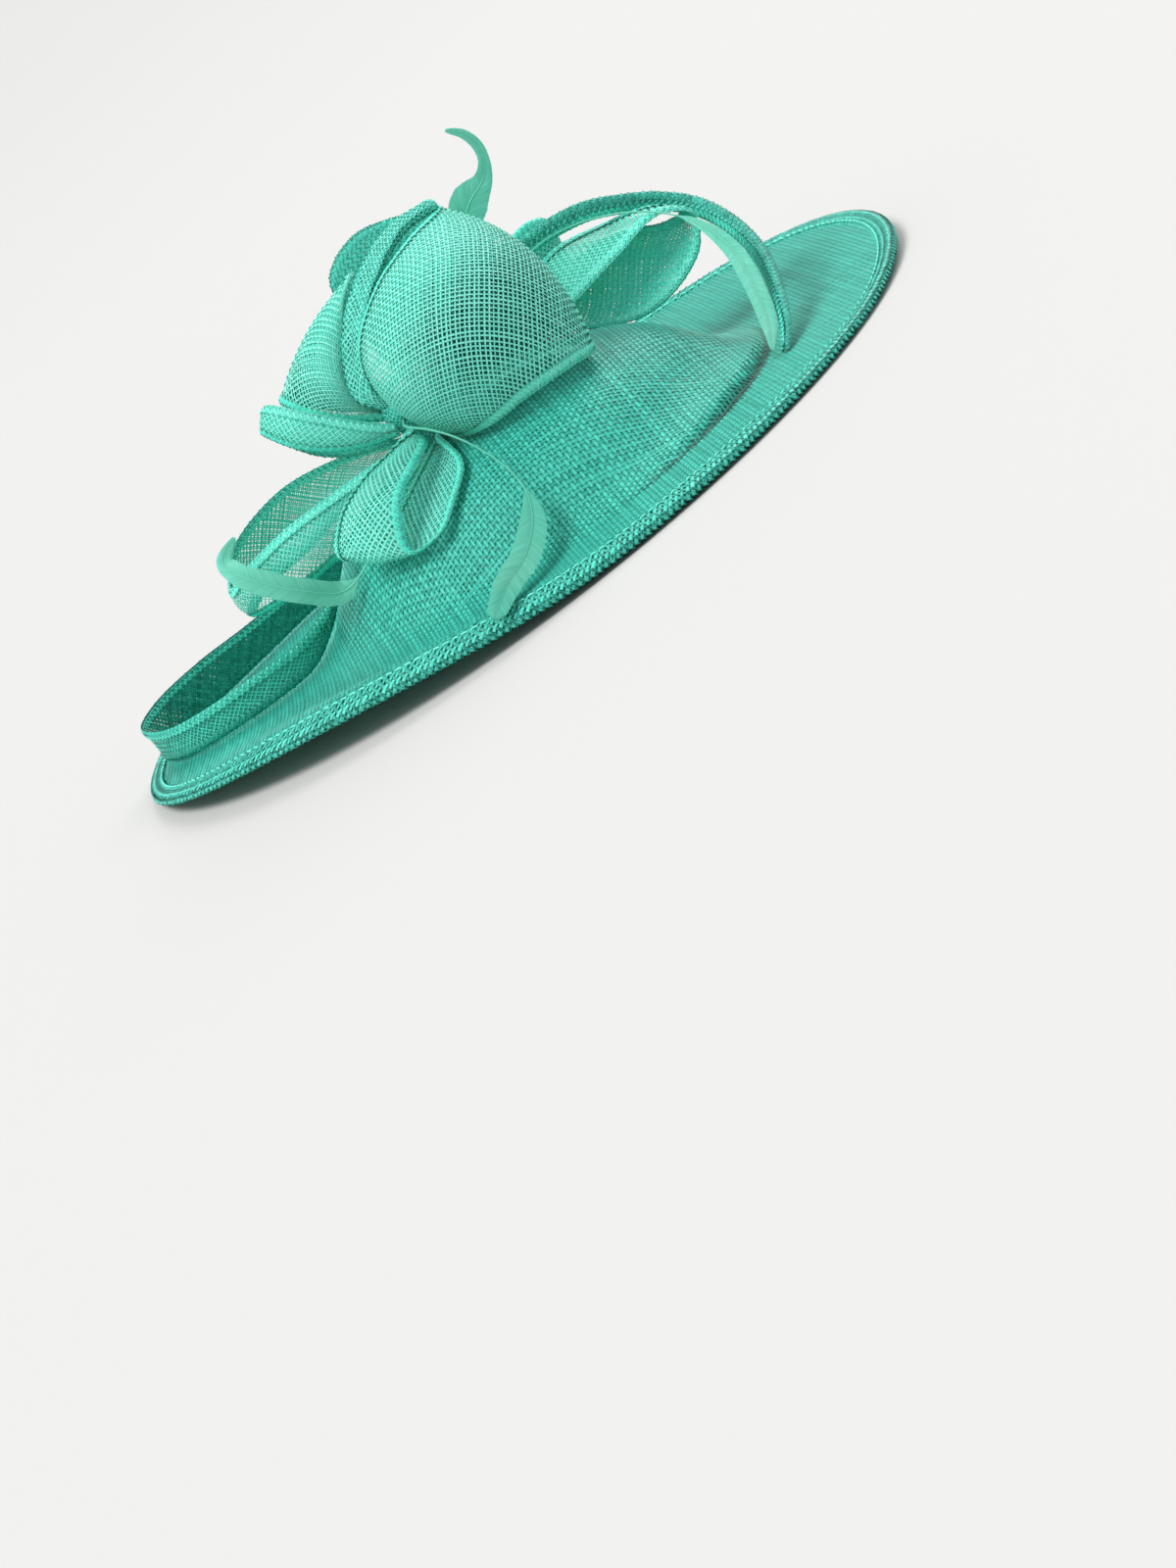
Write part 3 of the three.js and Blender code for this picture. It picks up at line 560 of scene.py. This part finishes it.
# the left band stands on the brim: x, y, how far it is clear of the disc, and its width there
BAND_LEFT_STAND = (
    (-83, -7, 2.0, 4),
    (-94, -26, 2.0, 8),
    (-108, -38, 1.2, 12),
    (-127, -43, 1.2, 14),
    (-156, -36, 1.2, 14),
    (-177, -17, 1.2, 15),
    (-189, 13, 2.4, 17),
    (-178, 38, 1.6, 19),
    (-156, 52, 1.2, 19),
    (-130, 67, 1.2, 16),
    (-105, 82, 1.2, 14),
    (-72, 94, 1.2, 12),
)
DISC_HALF_THICK = 0.6
LOOP_MARGIN, LINING_RIBBON, LINING_LIFT = 0.5, 0.66, -0.5
HEM_PITCH, HEM_RAISE, HEM_TURN, HEM_SHARE = 2.2, 0.62, 1.2, 0.42
HEM_FOLD, HEM_FOLD_PITCH = 0.9, 0.6
FAR_START, FAR_WHOLE = 0.46, 0.54


def band_left_rows():
    """Rows of the left band, upright on the disc"""
    rows = []
    for x, y, clear, tall in BAND_LEFT_STAND:
        under = float(disc_height(np.array([x], float), np.array([y], float))[0])
        foot = under + DISC_HALF_THICK + clear
        rows.append(((x, y, foot + tall), (x, y, foot), 0))
    return rows


def bent_spline(points, place):
    """Smooth line through points in space, slower where they crowd"""
    points = np.array(points, float)
    padded = np.concatenate([2 * points[:1] - points[1:2], points, 2 * points[-1:] - points[-2:-1]])
    row = np.clip(place.astype(int), 0, len(points) - 2)
    f = (place - row)[..., None]
    p0, p1, p2, p3 = (padded[row + k] for k in range(4))
    spans = ((p0, p1), (p1, p2), (p2, p3))
    d0, d1, d2 = (np.sqrt(np.linalg.norm(b - a, axis=-1, keepdims=True)) for a, b in spans)
    t1 = ((p1 - p0) / d0 - (p2 - p0) / (d0 + d1) + (p2 - p1) / d1) * d1
    t2 = ((p2 - p1) / d1 - (p3 - p1) / (d1 + d2) + (p3 - p2) / d2) * d1
    return (2 * p1 - 2 * p2 + t1 + t2) * f ** 3 + (3 * p2 - 3 * p1 - 2 * t1 - t2) * f ** 2 + t1 * f + p1


class Strip:
    """Bent strip of cloth: its middle length and full width in mm, and the place of any flat point"""

    STEPS, STEPS_OVER, WIDE_SHARE = 400, 12, 85
    RUN_PROBE, FACE_PROBE = 1e-3, 0.01

    def __init__(self, rows):
        self.first, self.second, self.belly = ([row[k] for row in rows] for k in range(3))
        self.last = len(rows) - 1
        self.fine = np.linspace(0, self.last, self.STEPS)
        self.run = length_along(self.at(self.fine, np.full(self.STEPS, 0.5)))
        self.length = self.run[-1]
        shares = np.linspace(0, 1, self.STEPS_OVER)
        across = np.stack([self.at(self.fine, np.full(self.STEPS, share)) for share in shares])
        self.widths = np.linalg.norm(np.diff(across, axis=0), axis=2).sum(0)
        self.width = float(np.percentile(self.widths, self.WIDE_SHARE))

    def at(self, place, share):
        """Point at a numbered place along the rows and a share of the way from edge to edge"""
        place = np.clip(place, 0, self.last)
        ahead = np.clip(place + self.RUN_PROBE, 0, self.last)
        behind = np.clip(place - self.RUN_PROBE, 0, self.last)
        a, b = bent_spline(self.first, place), bent_spline(self.second, place)
        edges = (self.first, self.second)
        run = sum(unit(bent_spline(edge, ahead) - bent_spline(edge, behind)) for edge in edges)
        belly = 4 * share * (1 - share) * even_spline(np.array(self.belly, float), place)
        return a + (b - a) * share[..., None] + unit(np.cross(run, b - a)) * belly[..., None]

    def cloth(self, along, over):
        return self.at(np.interp(along, self.run, self.fine), np.clip(over / self.width, 0, 1))

    def facing(self, place, share):
        """Point of the strip, and the way it faces there"""
        run = self.at(place + self.FACE_PROBE, share) - self.at(place - self.FACE_PROBE, share)
        low, high = (np.clip(share + step, 0, 1) for step in (-self.FACE_PROBE, self.FACE_PROBE))
        return self.at(place, share), unit(np.cross(run, self.at(place, high) - self.at(place, low)))

    def hem(self, edge):
        """Cloth of the hem folded round edge 0 or 1, with the fold at 0"""
        def folded(along, over):
            place = np.interp(along, self.run, self.fine)
            inward = np.minimum(np.abs(over) / np.interp(place, self.fine, self.widths), HEM_SHARE)
            here, out = self.facing(place, np.abs(edge - inward))
            return here + out * (HEM_RAISE * np.clip(over / HEM_TURN, -1, 1))[..., None]
        return folded

    def roll(self, depth, round_):
        """Cloth rolled into a flat tube along the strip, round_ millimetres about"""
        def rolled(along, over):
            turn = 2 * np.pi * over / round_
            here, out = self.facing(np.interp(along, self.run, self.fine), 0.5 - 0.5 * np.cos(turn))
            return here + out * (depth * np.sin(turn))[..., None]
        return rolled


def loop_piece(name, rows, seed, pitch=2.0, ribbon=0.4, hem=4.5, shade=0.85, lining=None, depth=0.0,
               finish=straw, slot="straw"):
    """Loop of one ply on the bias, hemmed on both edges, with a second ply where lining says so

    lining, and the second ply's tone depth if it isn't one number, are functions of the shares of the length
    and the width. depth is painted shade: the second ply lies inside the loop and is given a lower tone than
    the loop's own.
    """
    strip, weave = Strip(rows), Weave(seed)
    length, width = strip.length, strip.width
    low, high = (0, LOOP_MARGIN), (length, width - LOOP_MARGIN)
    weave.lay(strip.cloth, low, high, pitch, ribbon, BIAS, shade=shade)
    lined = 0.0
    if lining:
        def keep(along, over):
            return lining(along / length, over / width)

        def dim(along, over):
            return depth(along / length, over / width) if callable(depth) else depth

        weave.lay(
            strip.cloth, low, high, pitch, LINING_RIBBON, BIAS,
            lift=LINING_LIFT, shift=0.5, keep=keep, shade=dim,
        )
        lined = cloth_area(strip.cloth, (0, 0), (length, width), keep)
    for edge in (0, 1):
        cloth, low, high = strip.hem(edge), (0, -hem), (length, hem)
        weave.lay(cloth, low, high, HEM_PITCH, 0.5, BIAS, rise=0.2, lift=0.25, shade=shade)
        # the middle layer of each hem is darker than the outer one: painted shade in its openings
        weave.lay(cloth, low, high, HEM_PITCH, 0.72, BIAS, rise=0.1, shift=0.5, shade=shade - 0.4)
        low, high = (0, -HEM_FOLD), (length, HEM_FOLD)
        weave.lay(cloth, low, high, HEM_FOLD_PITCH, 0.8, rise=0.1, lift=0.2, shade=shade - 0.2)
    piece = weave.piece(name + "_cloth", finish, name, slot)
    cut = cloth_area(strip.cloth, (0, 0), (length, width)) + lined + 4 * hem * length * MM * MM
    flat = ((width + 4 * hem) * MM + lined / (length * MM), length * MM)
    min(cut, flat[0] * flat[1])


def whole(along, over):
    """Second ply all over the loop"""
    return np.ones_like(along)


def far_side(along):
    """0 on the near half of a loop, 1 on the half behind it"""
    return ramp(along, FAR_START, FAR_WHOLE)


def ball_lining(along, over):
    """Second ply towards the upper edge and the root, and all over the far side"""
    near = np.maximum(ramp(over, 0.42, 0.82), ramp(along, 0.24, 0.12))
    return np.maximum(near * (along < FAR_WHOLE), far_side(along))


def ball_lining_shade(along, over):
    """Painted shade inside the ball: darker low down, above all on the far side, and lighter high on the far
    side, where its inside is lit
    """
    near, far = np.interp(over, (0.3, 0.7), (-0.2, 0.3)), np.interp(over, (0.5, 0.9), (-0.6, 0.6))
    return near + (far - near) * far_side(along)


def puff_lining(along, over):
    """Second ply towards the upper edge, and all over the far side"""
    return np.maximum(ramp(over, 0.9, 0.4) * (along < FAR_WHOLE), far_side(along))


def puff_lining_shade(along, over):
    """Painted shade inside the puff: darker on the far side"""
    return 0.4 - 0.7 * far_side(along)


def lower_left_lining(along, over):
    """Thin second ply on the far side and near the root, so that the loop stays see-through"""
    return np.maximum(0.45 * far_side(along), 0.6 * ramp(along, 0.34, 0.2))


loop_piece(
    "ball_loop", BALL_ROWS, 11, pitch=2.1, ribbon=0.36, shade=1.0,
    lining=ball_lining, depth=ball_lining_shade,
)
loop_piece("puff_loop", PUFF_ROWS, 13, shade=1.0, lining=puff_lining, depth=puff_lining_shade)
loop_piece("side_loop", SIDE_ROWS, 14, shade=0.9, lining=whole, depth=0.4)
loop_piece(
    "lower_left_loop", LOWER_LEFT_ROWS, 15, pitch=1.8, ribbon=0.36, shade=0.8,
    lining=lower_left_lining, depth=0.5,
)
loop_piece("front_loop", FRONT_ROWS, 16, shade=0.9)
# the right loop's lining has the lightest tone of the linings: painted light on the inner wall, which lies
# in shade
loop_piece("right_loop", RIGHT_ROWS, 17, hem=6.0, shade=0.8, lining=whole, depth=0.6)
loop_piece("back_loop", BACK_ROWS, 18, lining=whole)
for name, rows, seed, hem in (
    ("band_loop_right", BAND_RIGHT_ROWS, 19, 3.5), ("band_loop_left", band_left_rows(), 20, 4.0),
):
    loop_piece(
        name, rows, seed, hem=hem, shade=0.3, lining=whole, depth=-0.2,
        finish=edge_straw, slot="straw_edge",
    )

# Ball roll
# A strip of the cloth rolled into a flat tube of two plies, which lies along the upper edge of the
# ball and is gathered into the knot with it. Its rows are like those of the loops.
ROLL_ROWS = (
    ((51, -26, 127.5), (48, -20, 130), 1),
    ((34, -30, 128.5), (29, -23.5, 132), 2),
    ((14, -44, 122), (7, -38, 126), 2.5),
    ((-3, -53.5, 111), (-11, -47.5, 114), 3),
    ((-12.5, -57.5, 98.5), (-21.5, -52, 100), 3),
    ((-16.5, -58.5, 88), (-25, -53.5, 88), 2),
    ((-13.5, -57, 79.8), (-18, -56, 77.8), 0.3),
)
ROLL_DEPTH, ROLL_INNER_DEPTH, ROLL_SHARE = 2.6, 2.2, 2.4
roll_strip = Strip(ROLL_ROWS)
roll_round = ROLL_SHARE * roll_strip.width
roll_high = (roll_strip.length, roll_round)
roll_outer, roll_inner = (roll_strip.roll(depth, roll_round) for depth in (ROLL_DEPTH, ROLL_INNER_DEPTH))
weave = Weave(12)
weave.lay(roll_outer, (0, 0), roll_high, 1.9, 0.46, BIAS, shade=0.75)
# the inner ply is darker than the outer: painted shade inside the tube
weave.lay(roll_inner, (0, 0), roll_high, 1.6, 0.7, BIAS, shade=-0.1)
roll = weave.piece("ball_roll_cloth", straw, "ball_roll", "straw")
roll_area = cloth_area(roll_outer, (0, 0), roll_high) * 2

# Gathered knot
# The ends of the loops bunched together, bound round with a strip of the same cloth and sewn to the
# crown, so that the bow stands on it like a short post.
KNOT_X, KNOT_Y, KNOT_RADIUS, KNOT_BOTTOM, KNOT_TOP = -10.0, -56.0, 9.0, 54.9, 79.0
# distance from the knot's middle, and height
KNOT_SECTION = np.array([
    (0.3, KNOT_BOTTOM), (6.3, KNOT_BOTTOM), (9, KNOT_BOTTOM + 5), (8.6, KNOT_BOTTOM + 12),
    (11.2, KNOT_TOP - 5), (9.4, KNOT_TOP), (0.3, KNOT_TOP + 2),
])
KNOT_PITCH, PLEAT_DEPTH, PLEAT_TURNS = 1.5, 0.05, 9
knot_run = length_along(KNOT_SECTION)
knot_round = 2 * math.pi * KNOT_RADIUS
knot_high = (knot_round, knot_run[-1])


def knot_cloth(along, over):
    r, z = (np.interp(over, knot_run, KNOT_SECTION[:, k]) for k in (0, 1))
    turn = along / KNOT_RADIUS
    r = r * (1 - PLEAT_DEPTH * np.sin(turn * PLEAT_TURNS) ** 2)
    return np.stack([KNOT_X + r * np.cos(turn), KNOT_Y + r * np.sin(turn), z], -1)


weave = Weave(21)
weave.lay(knot_cloth, (0, 0), knot_high, KNOT_PITCH, 0.66, BIAS, rise=0.15, lift=-0.2)
# the inner winding is a little darker: painted shade under the outer one
weave.lay(knot_cloth, (0, 0), knot_high, KNOT_PITCH, 0.7, 20.0, rise=0.15, lift=-0.7, shade=-0.1)
knot = weave.piece("knot_cloth", edge_straw, "gather_knot", "straw_edge")
knot_area = 2 * cloth_area(knot_cloth, (0, 0), knot_high)

# Feathers
# Quills stripped bare along most of their length, with the vane left near the tip, trimmed to a slim
# shape and curled. A feather has its tone, the way its face turns, and rows of x, y, z and half width.
FEATHERS = {
    "feather_top": (0.7, (0.0, -1.0, 0.2), (
        (24, 9, 52.3, 0.8), (33, 9, 76, 0.8), (43, 8, 97, 2), (54, 7, 109, 6), (63, 6, 116, 8),
        (73, 6, 120, 4), (78, 5, 126, 2.4), (79.5, 5, 133, 2.2), (77.5, 5, 140, 1.8), (72, 5, 146, 0.9),
    )),
    "feather_left": (0.85, (0.0, -1.0, 0.2), (
        (-20.5, -68.5, 54.3, 0.8), (-30, -71, 51.5, 0.8), (-44, -75, 46.2, 0.8), (-64, -77, 36, 0.8),
        (-76, -76, 34, 4.5), (-88, -78, 44.5, 5), (-97, -77, 54.5, 5), (-104, -74, 64, 4.5),
        (-106, -69, 71.5, 3.5), (-97, -63, 76.5, 1),
    )),
    "feather_front": (0.3, (0.2, -0.7, 0.7), (
        (-14.5, -64.4, 72, 0.8), (-15, -77, 71, 0.8), (-9, -88, 67, 0.8), (-2, -99, 59.5, 0.8),
        (4, -109, 48.5, 0.8), (7, -121, 39, 0.8), (7, -130, 32, 1.4), (2, -143, 24, 5),
        (-8, -158, 18.5, 6), (-20, -174, 17.3, 5.5), (-31, -184.4, 12.8, 3.5),
    )),
    "feather_right": (0.55, (0.0, -1.0, 0.2), (
        (41, 13, 49.2, 0.8), (46, 17, 66, 0.8), (58, 20, 77.5, 0.8), (75, 20.5, 82, 0.8),
        (95, 17, 79.5, 0.8), (117, 5, 70, 0.8), (131, -10, 57, 1.2), (136, -32, 42, 3.4),
        (132.5, -56, 28, 4), (125.5, -79, 15, 3.4), (118.5, -95, 8.4, 1),
    )),
}
FEATHER_SEED, FEATHER_STEPS = 31, 1200
FEATHER_DARK, FEATHER_PALE = (42, 164, 137), (120, 226, 198)
FEATHER_ROUGHNESS, FEATHER_GLOSS, FEATHER_SHEEN = 0.62, 0.15, 0.15
QUILL_RADIUS, QUILL_TAPER, QUILL_SHORT, QUILL_TONE = 0.55, 0.65, 1.0, 0.05
QUILL_STEPS, QUILL_SIDES = 70, 8
BARE_WIDTH, VANE_SHORT, VANE_START, VANE_LEAST, VANE_TIP = 1.0, 1.5, 5.0, 0.1, 3.0
BARB_STEP, BARB_HALF, BARB_LEAN, BARB_CURL, BARB_POINTS = 0.3, 0.24, 1.1, 0.9, 6
BARB_FLARE, BARB_DROOP, BARB_BOW, BARB_ROOT_TONE = 0.3, 0.25, 3.1, 0.12
BARB_TONE_SPREAD, BARB_RIPPLE, BARB_STRETCH = 0.08, 0.04, 0.01
# where quill and barbs lie on the map: start and width of their lanes, and a barb's length and half width
QUILL_MAP, BARB_MAP, BARB_MAP_LONG, BARB_MAP_HALF = (0.01, 0.02), (0.05, 0.94), 0.48, 0.3


def feather_finish():
    """Dyed feather: paler barbs among darker ones, a soft sheen along them"""
    made, shader, start = new_finish("dyed_feather")
    strand = start.node("ShaderNodeAttribute", {"attribute_name": "strand"}, {}, "Fac")
    strand.between(colour(*FEATHER_DARK), colour(*FEATHER_PALE)).feed(shader, "Base Color")
    (FEATHER_ROUGHNESS - FEATHER_GLOSS * strand).feed(shader, "Roughness")
    shader.inputs["Sheen Weight"].default_value = FEATHER_SHEEN
    return made


class Feather:
    """Strips of one feather: a quill along its rows, and barbs where the vane is left"""

    def __init__(self, tone, face, rows, seed):
        self.tone, self.dice = tone, np.random.default_rng(seed)
        rows = np.array(rows, float)
        fine = np.linspace(0, len(rows) - 1, FEATHER_STEPS)
        self.spine = bent_spline(rows[:, :3], fine)
        self.run = length_along(self.spine)
        self.length = self.run[-1]
        self.half = np.maximum(even_spline(rows[:, 3], fine), QUILL_RADIUS)
        ahead = np.gradient(self.spine, self.run, axis=0)
        self.side = unit(np.cross(ahead, np.array(face)))
        self.out = np.cross(self.side, ahead)
        self.points, self.faces, self.tones, self.spots = [], [], [], []
        self.count = 0

    def on(self, table, place):
        return np.stack([np.interp(place, self.run, table[:, k]) for k in range(3)], -1)

    def beside(self, place, aside, above):
        """Point at a place along the quill, moved to its side and off its face"""
        moved = self.on(self.side, place) * aside[:, None] + self.on(self.out, place) * above[:, None]
        return self.on(self.spine, place) + moved

    def add_quill(self):
        places = np.linspace(0, self.length - QUILL_SHORT, QUILL_STEPS)
        thick = QUILL_RADIUS * (1 - QUILL_TAPER * places / self.length)
        ring = np.arange(QUILL_STEPS - 1)
        for k in range(QUILL_SIDES):
            turn = 2 * math.pi * k / QUILL_SIDES
            self.points.append(self.beside(places, thick * math.cos(turn), thick * math.sin(turn)))
            self.tones.append(np.full(QUILL_STEPS, self.tone + QUILL_TONE))
            lane = QUILL_MAP[0] + QUILL_MAP[1] * k / QUILL_SIDES
            self.spots.append(np.stack([places / self.length, np.full(QUILL_STEPS, lane)], -1))
            a, b = QUILL_STEPS * k + ring, QUILL_STEPS * ((k + 1) % QUILL_SIDES) + ring
            self.faces.append(np.stack([a, a + 1, b + 1, b], -1))
        self.count += QUILL_STEPS * QUILL_SIDES

    def add_barbs(self, hand):
        """Barbs on the left, hand -1, or the right, hand 1"""
        vane = self.run[self.half > BARE_WIDTH][0]
        roots = np.arange(vane, self.length - VANE_SHORT, BARB_STEP)
        shares = np.linspace(0, 1, BARB_POINTS)
        m = len(roots)
        tone = self.dice.normal(self.tone, BARB_TONE_SPREAD, m).clip(0, 1)
        ripple = self.dice.normal(0, BARB_RIPPLE, m)
        stretch = self.dice.normal(1.0, BARB_STRETCH, m)
        grid = []
        for share in shares:
            lean = BARB_LEAN * np.interp(roots, self.run, self.half) * share ** BARB_CURL
            place = np.minimum(roots + lean, self.length)
            taper = np.maximum(ramp(roots, vane, vane + VANE_START), VANE_LEAST)
            taper = taper * ramp(place, self.length, self.length - VANE_TIP) ** 0.5
            reach = np.interp(place, self.run, self.half) * share * stretch * taper
            droop = BARB_DROOP * np.sin(share * BARB_BOW) + ripple * share
            grid.append(self.beside(place, hand * reach, droop))
        grid = np.array(grid)
        forward = BARB_HALF * unit(-hand * np.cross(np.gradient(grid, axis=0), self.on(self.out, roots)))
        for edge in (-1, 1):
            for k, share in enumerate(shares):
                self.points.append(grid[k] + edge * forward[k] * (1 + BARB_FLARE * share))
                self.tones.append(tone - BARB_ROOT_TONE * (1 - share))
                lane = BARB_MAP[0] + BARB_MAP[1] * (np.arange(m) + 0.5 + BARB_MAP_HALF * edge) / m
                out = (hand + 1) / 4 + BARB_MAP_LONG * share
                self.spots.append(np.stack([np.full(m, out), lane], -1))
        for k in range(BARB_POINTS - 1):
            a = self.count + k * m + np.arange(m)
            b = a + BARB_POINTS * m
            quad = np.stack([a, b, b + m, a + m], -1)
            self.faces.append(quad if hand > 0 else quad[:, ::-1])
        self.count += 2 * m * BARB_POINTS


feather_dye = feather_finish()
for number, (name, (tone, face, rows)) in enumerate(FEATHERS.items()):
    feather = Feather(tone, face, rows, FEATHER_SEED + number)
    feather.add_quill()
    for hand in (-1, 1):
        feather.add_barbs(hand)
    strand_piece(
        name + "_vane", feather.points, feather.faces, {"strand": feather.tones},
        np.concatenate(feather.spots), feather_dye, name,
    )

# Comb
# One plain moulding of pale plastic, sewn flat under the top of the crown with its teeth to the front.
# It is out of sight when the piece is worn.
COMB_DARK, COMB_PALE = (205, 222, 214), (226, 238, 232)
CLOUD_SCALE, CLOUD_DETAIL, COMB_ROUGHNESS, CLOUD_ROUGHNESS = 90.0, 3.0, 0.25, 0.15
comb_plastic, comb_shader, comb_start = new_finish("comb_plastic")
comb_place = comb_start.node("ShaderNodeTexCoord", {}, {}, "Object")
comb_cloud = comb_start.node(
    "ShaderNodeTexNoise", {}, {"Vector": comb_place, "Scale": CLOUD_SCALE, "Detail": CLOUD_DETAIL},
)
comb_cloud.between(colour(*COMB_DARK), colour(*COMB_PALE)).feed(comb_shader, "Base Color")
(COMB_ROUGHNESS + CLOUD_ROUGHNESS * comb_cloud).feed(comb_shader, "Roughness")
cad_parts["comb"].data.materials.clear()
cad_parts["comb"].data.materials.append(comb_plastic)

# Studio
# A pale floor that sweeps up into a round wall, a large soft light above on the left, a weaker one
# behind on the right, and a camera that is rolled, so that the level piece slants in the picture.
FLOOR_COLOUR, FLOOR_ROUGHNESS, FLOOR_STEPS = (204, 202, 199), 0.9, 96
# distance from the middle and height, in metres
SWEEP = ((0.0, 0.0), (2.0, 0.0), (3.0, 0.05), (4.5, 0.3), (6.5, 1.0), (9.0, 2.4))
sweep = bmesh.new()
corners = [sweep.verts.new((r, 0.0, z)) for r, z in SWEEP]
edges = [sweep.edges.new(pair) for pair in zip(corners, corners[1:])]
bmesh.ops.spin(
    sweep, geom=corners + edges, cent=(0, 0, 0), axis=(0, 0, 1),
    angle=2 * math.pi, steps=FLOOR_STEPS, use_merge=True,
)
bmesh.ops.remove_doubles(sweep, verts=sweep.verts, dist=1e-5)
bmesh.ops.recalc_face_normals(sweep, faces=sweep.faces)
floor_mesh = bpy.data.meshes.new("floor")
sweep.to_mesh(floor_mesh)
sweep.free()
floor_mesh.polygons.foreach_set("use_smooth", [True] * len(floor_mesh.polygons))
floor = bpy.data.objects.new("floor", floor_mesh)
bpy.context.scene.collection.objects.link(floor)
floor_paint, floor_shader, _ = new_finish("floor_paint")
floor_shader.inputs["Base Color"].default_value = colour(*FLOOR_COLOUR)
floor_shader.inputs["Roughness"].default_value = FLOOR_ROUGHNESS
floor_mesh.materials.append(floor_paint)

CAMERA_RISE, CAMERA_ROLL, CAMERA_AWAY = math.radians(12.0), math.radians(37.7), 1.14
CAMERA_LENS, CAMERA_SENSOR, FOCAL_PIXELS = 60.0, 36.0, 2667.0
# where the middle of the picture and the origin of the frame are in it, in pixels
MIDDLE_PIXEL, ORIGIN_PIXEL = (600.0, 800.0), (529.0, 521.0)
back = Vector((0, -math.cos(CAMERA_RISE), math.sin(CAMERA_RISE)))
level = Vector((1, 0, 0))
upright = back.cross(level)
right = math.cos(CAMERA_ROLL) * level - math.sin(CAMERA_ROLL) * upright
up = math.sin(CAMERA_ROLL) * level + math.cos(CAMERA_ROLL) * upright
straight = Matrix((right, up, back)).transposed()
aside, above = ORIGIN_PIXEL[0] - MIDDLE_PIXEL[0], MIDDLE_PIXEL[1] - ORIGIN_PIXEL[1]
aim = Vector((aside, above, -FOCAL_PIXELS)).normalized()
swing = aim.rotation_difference(Vector((0, 0, -1))).to_matrix()
camera_data = bpy.data.cameras.new("camera")
camera_data.lens, camera_data.sensor_width = CAMERA_LENS, CAMERA_SENSOR
camera = bpy.data.objects.new("camera", camera_data)
bpy.context.scene.collection.objects.link(camera)
camera.matrix_world = Matrix.Translation(back * CAMERA_AWAY) @ (straight @ swing).to_4x4()
bpy.context.scene.camera = camera


def soft_light(name, place, spread, power):
    """Wide lamp that shines from a place, in metres, towards the origin"""
    lamp = bpy.data.lights.new(name, "SUN")
    lamp.angle, lamp.energy = math.radians(spread), power
    holder = bpy.data.objects.new(name, lamp)
    holder.location = place
    holder.rotation_euler = (-Vector(place)).to_track_quat("-Z", "Y").to_euler()
    bpy.context.scene.collection.objects.link(holder)


soft_light("key_light", place=(-0.5, -0.15, 1.0), spread=35.0, power=2.4)
soft_light("rear_light", place=(0.9, 1.2, 1.2), spread=40.0, power=1.5)
SKY_COLOUR, SKY_STRENGTH = (0.9, 0.95, 1.0, 1.0), 0.5
world = bpy.data.worlds.new("studio")
world.use_nodes = True
sky = world.node_tree.nodes["Background"]
sky.inputs["Color"].default_value = SKY_COLOUR
sky.inputs["Strength"].default_value = SKY_STRENGTH
bpy.context.scene.world = world
bpy.context.scene.view_settings.view_transform = "Standard"
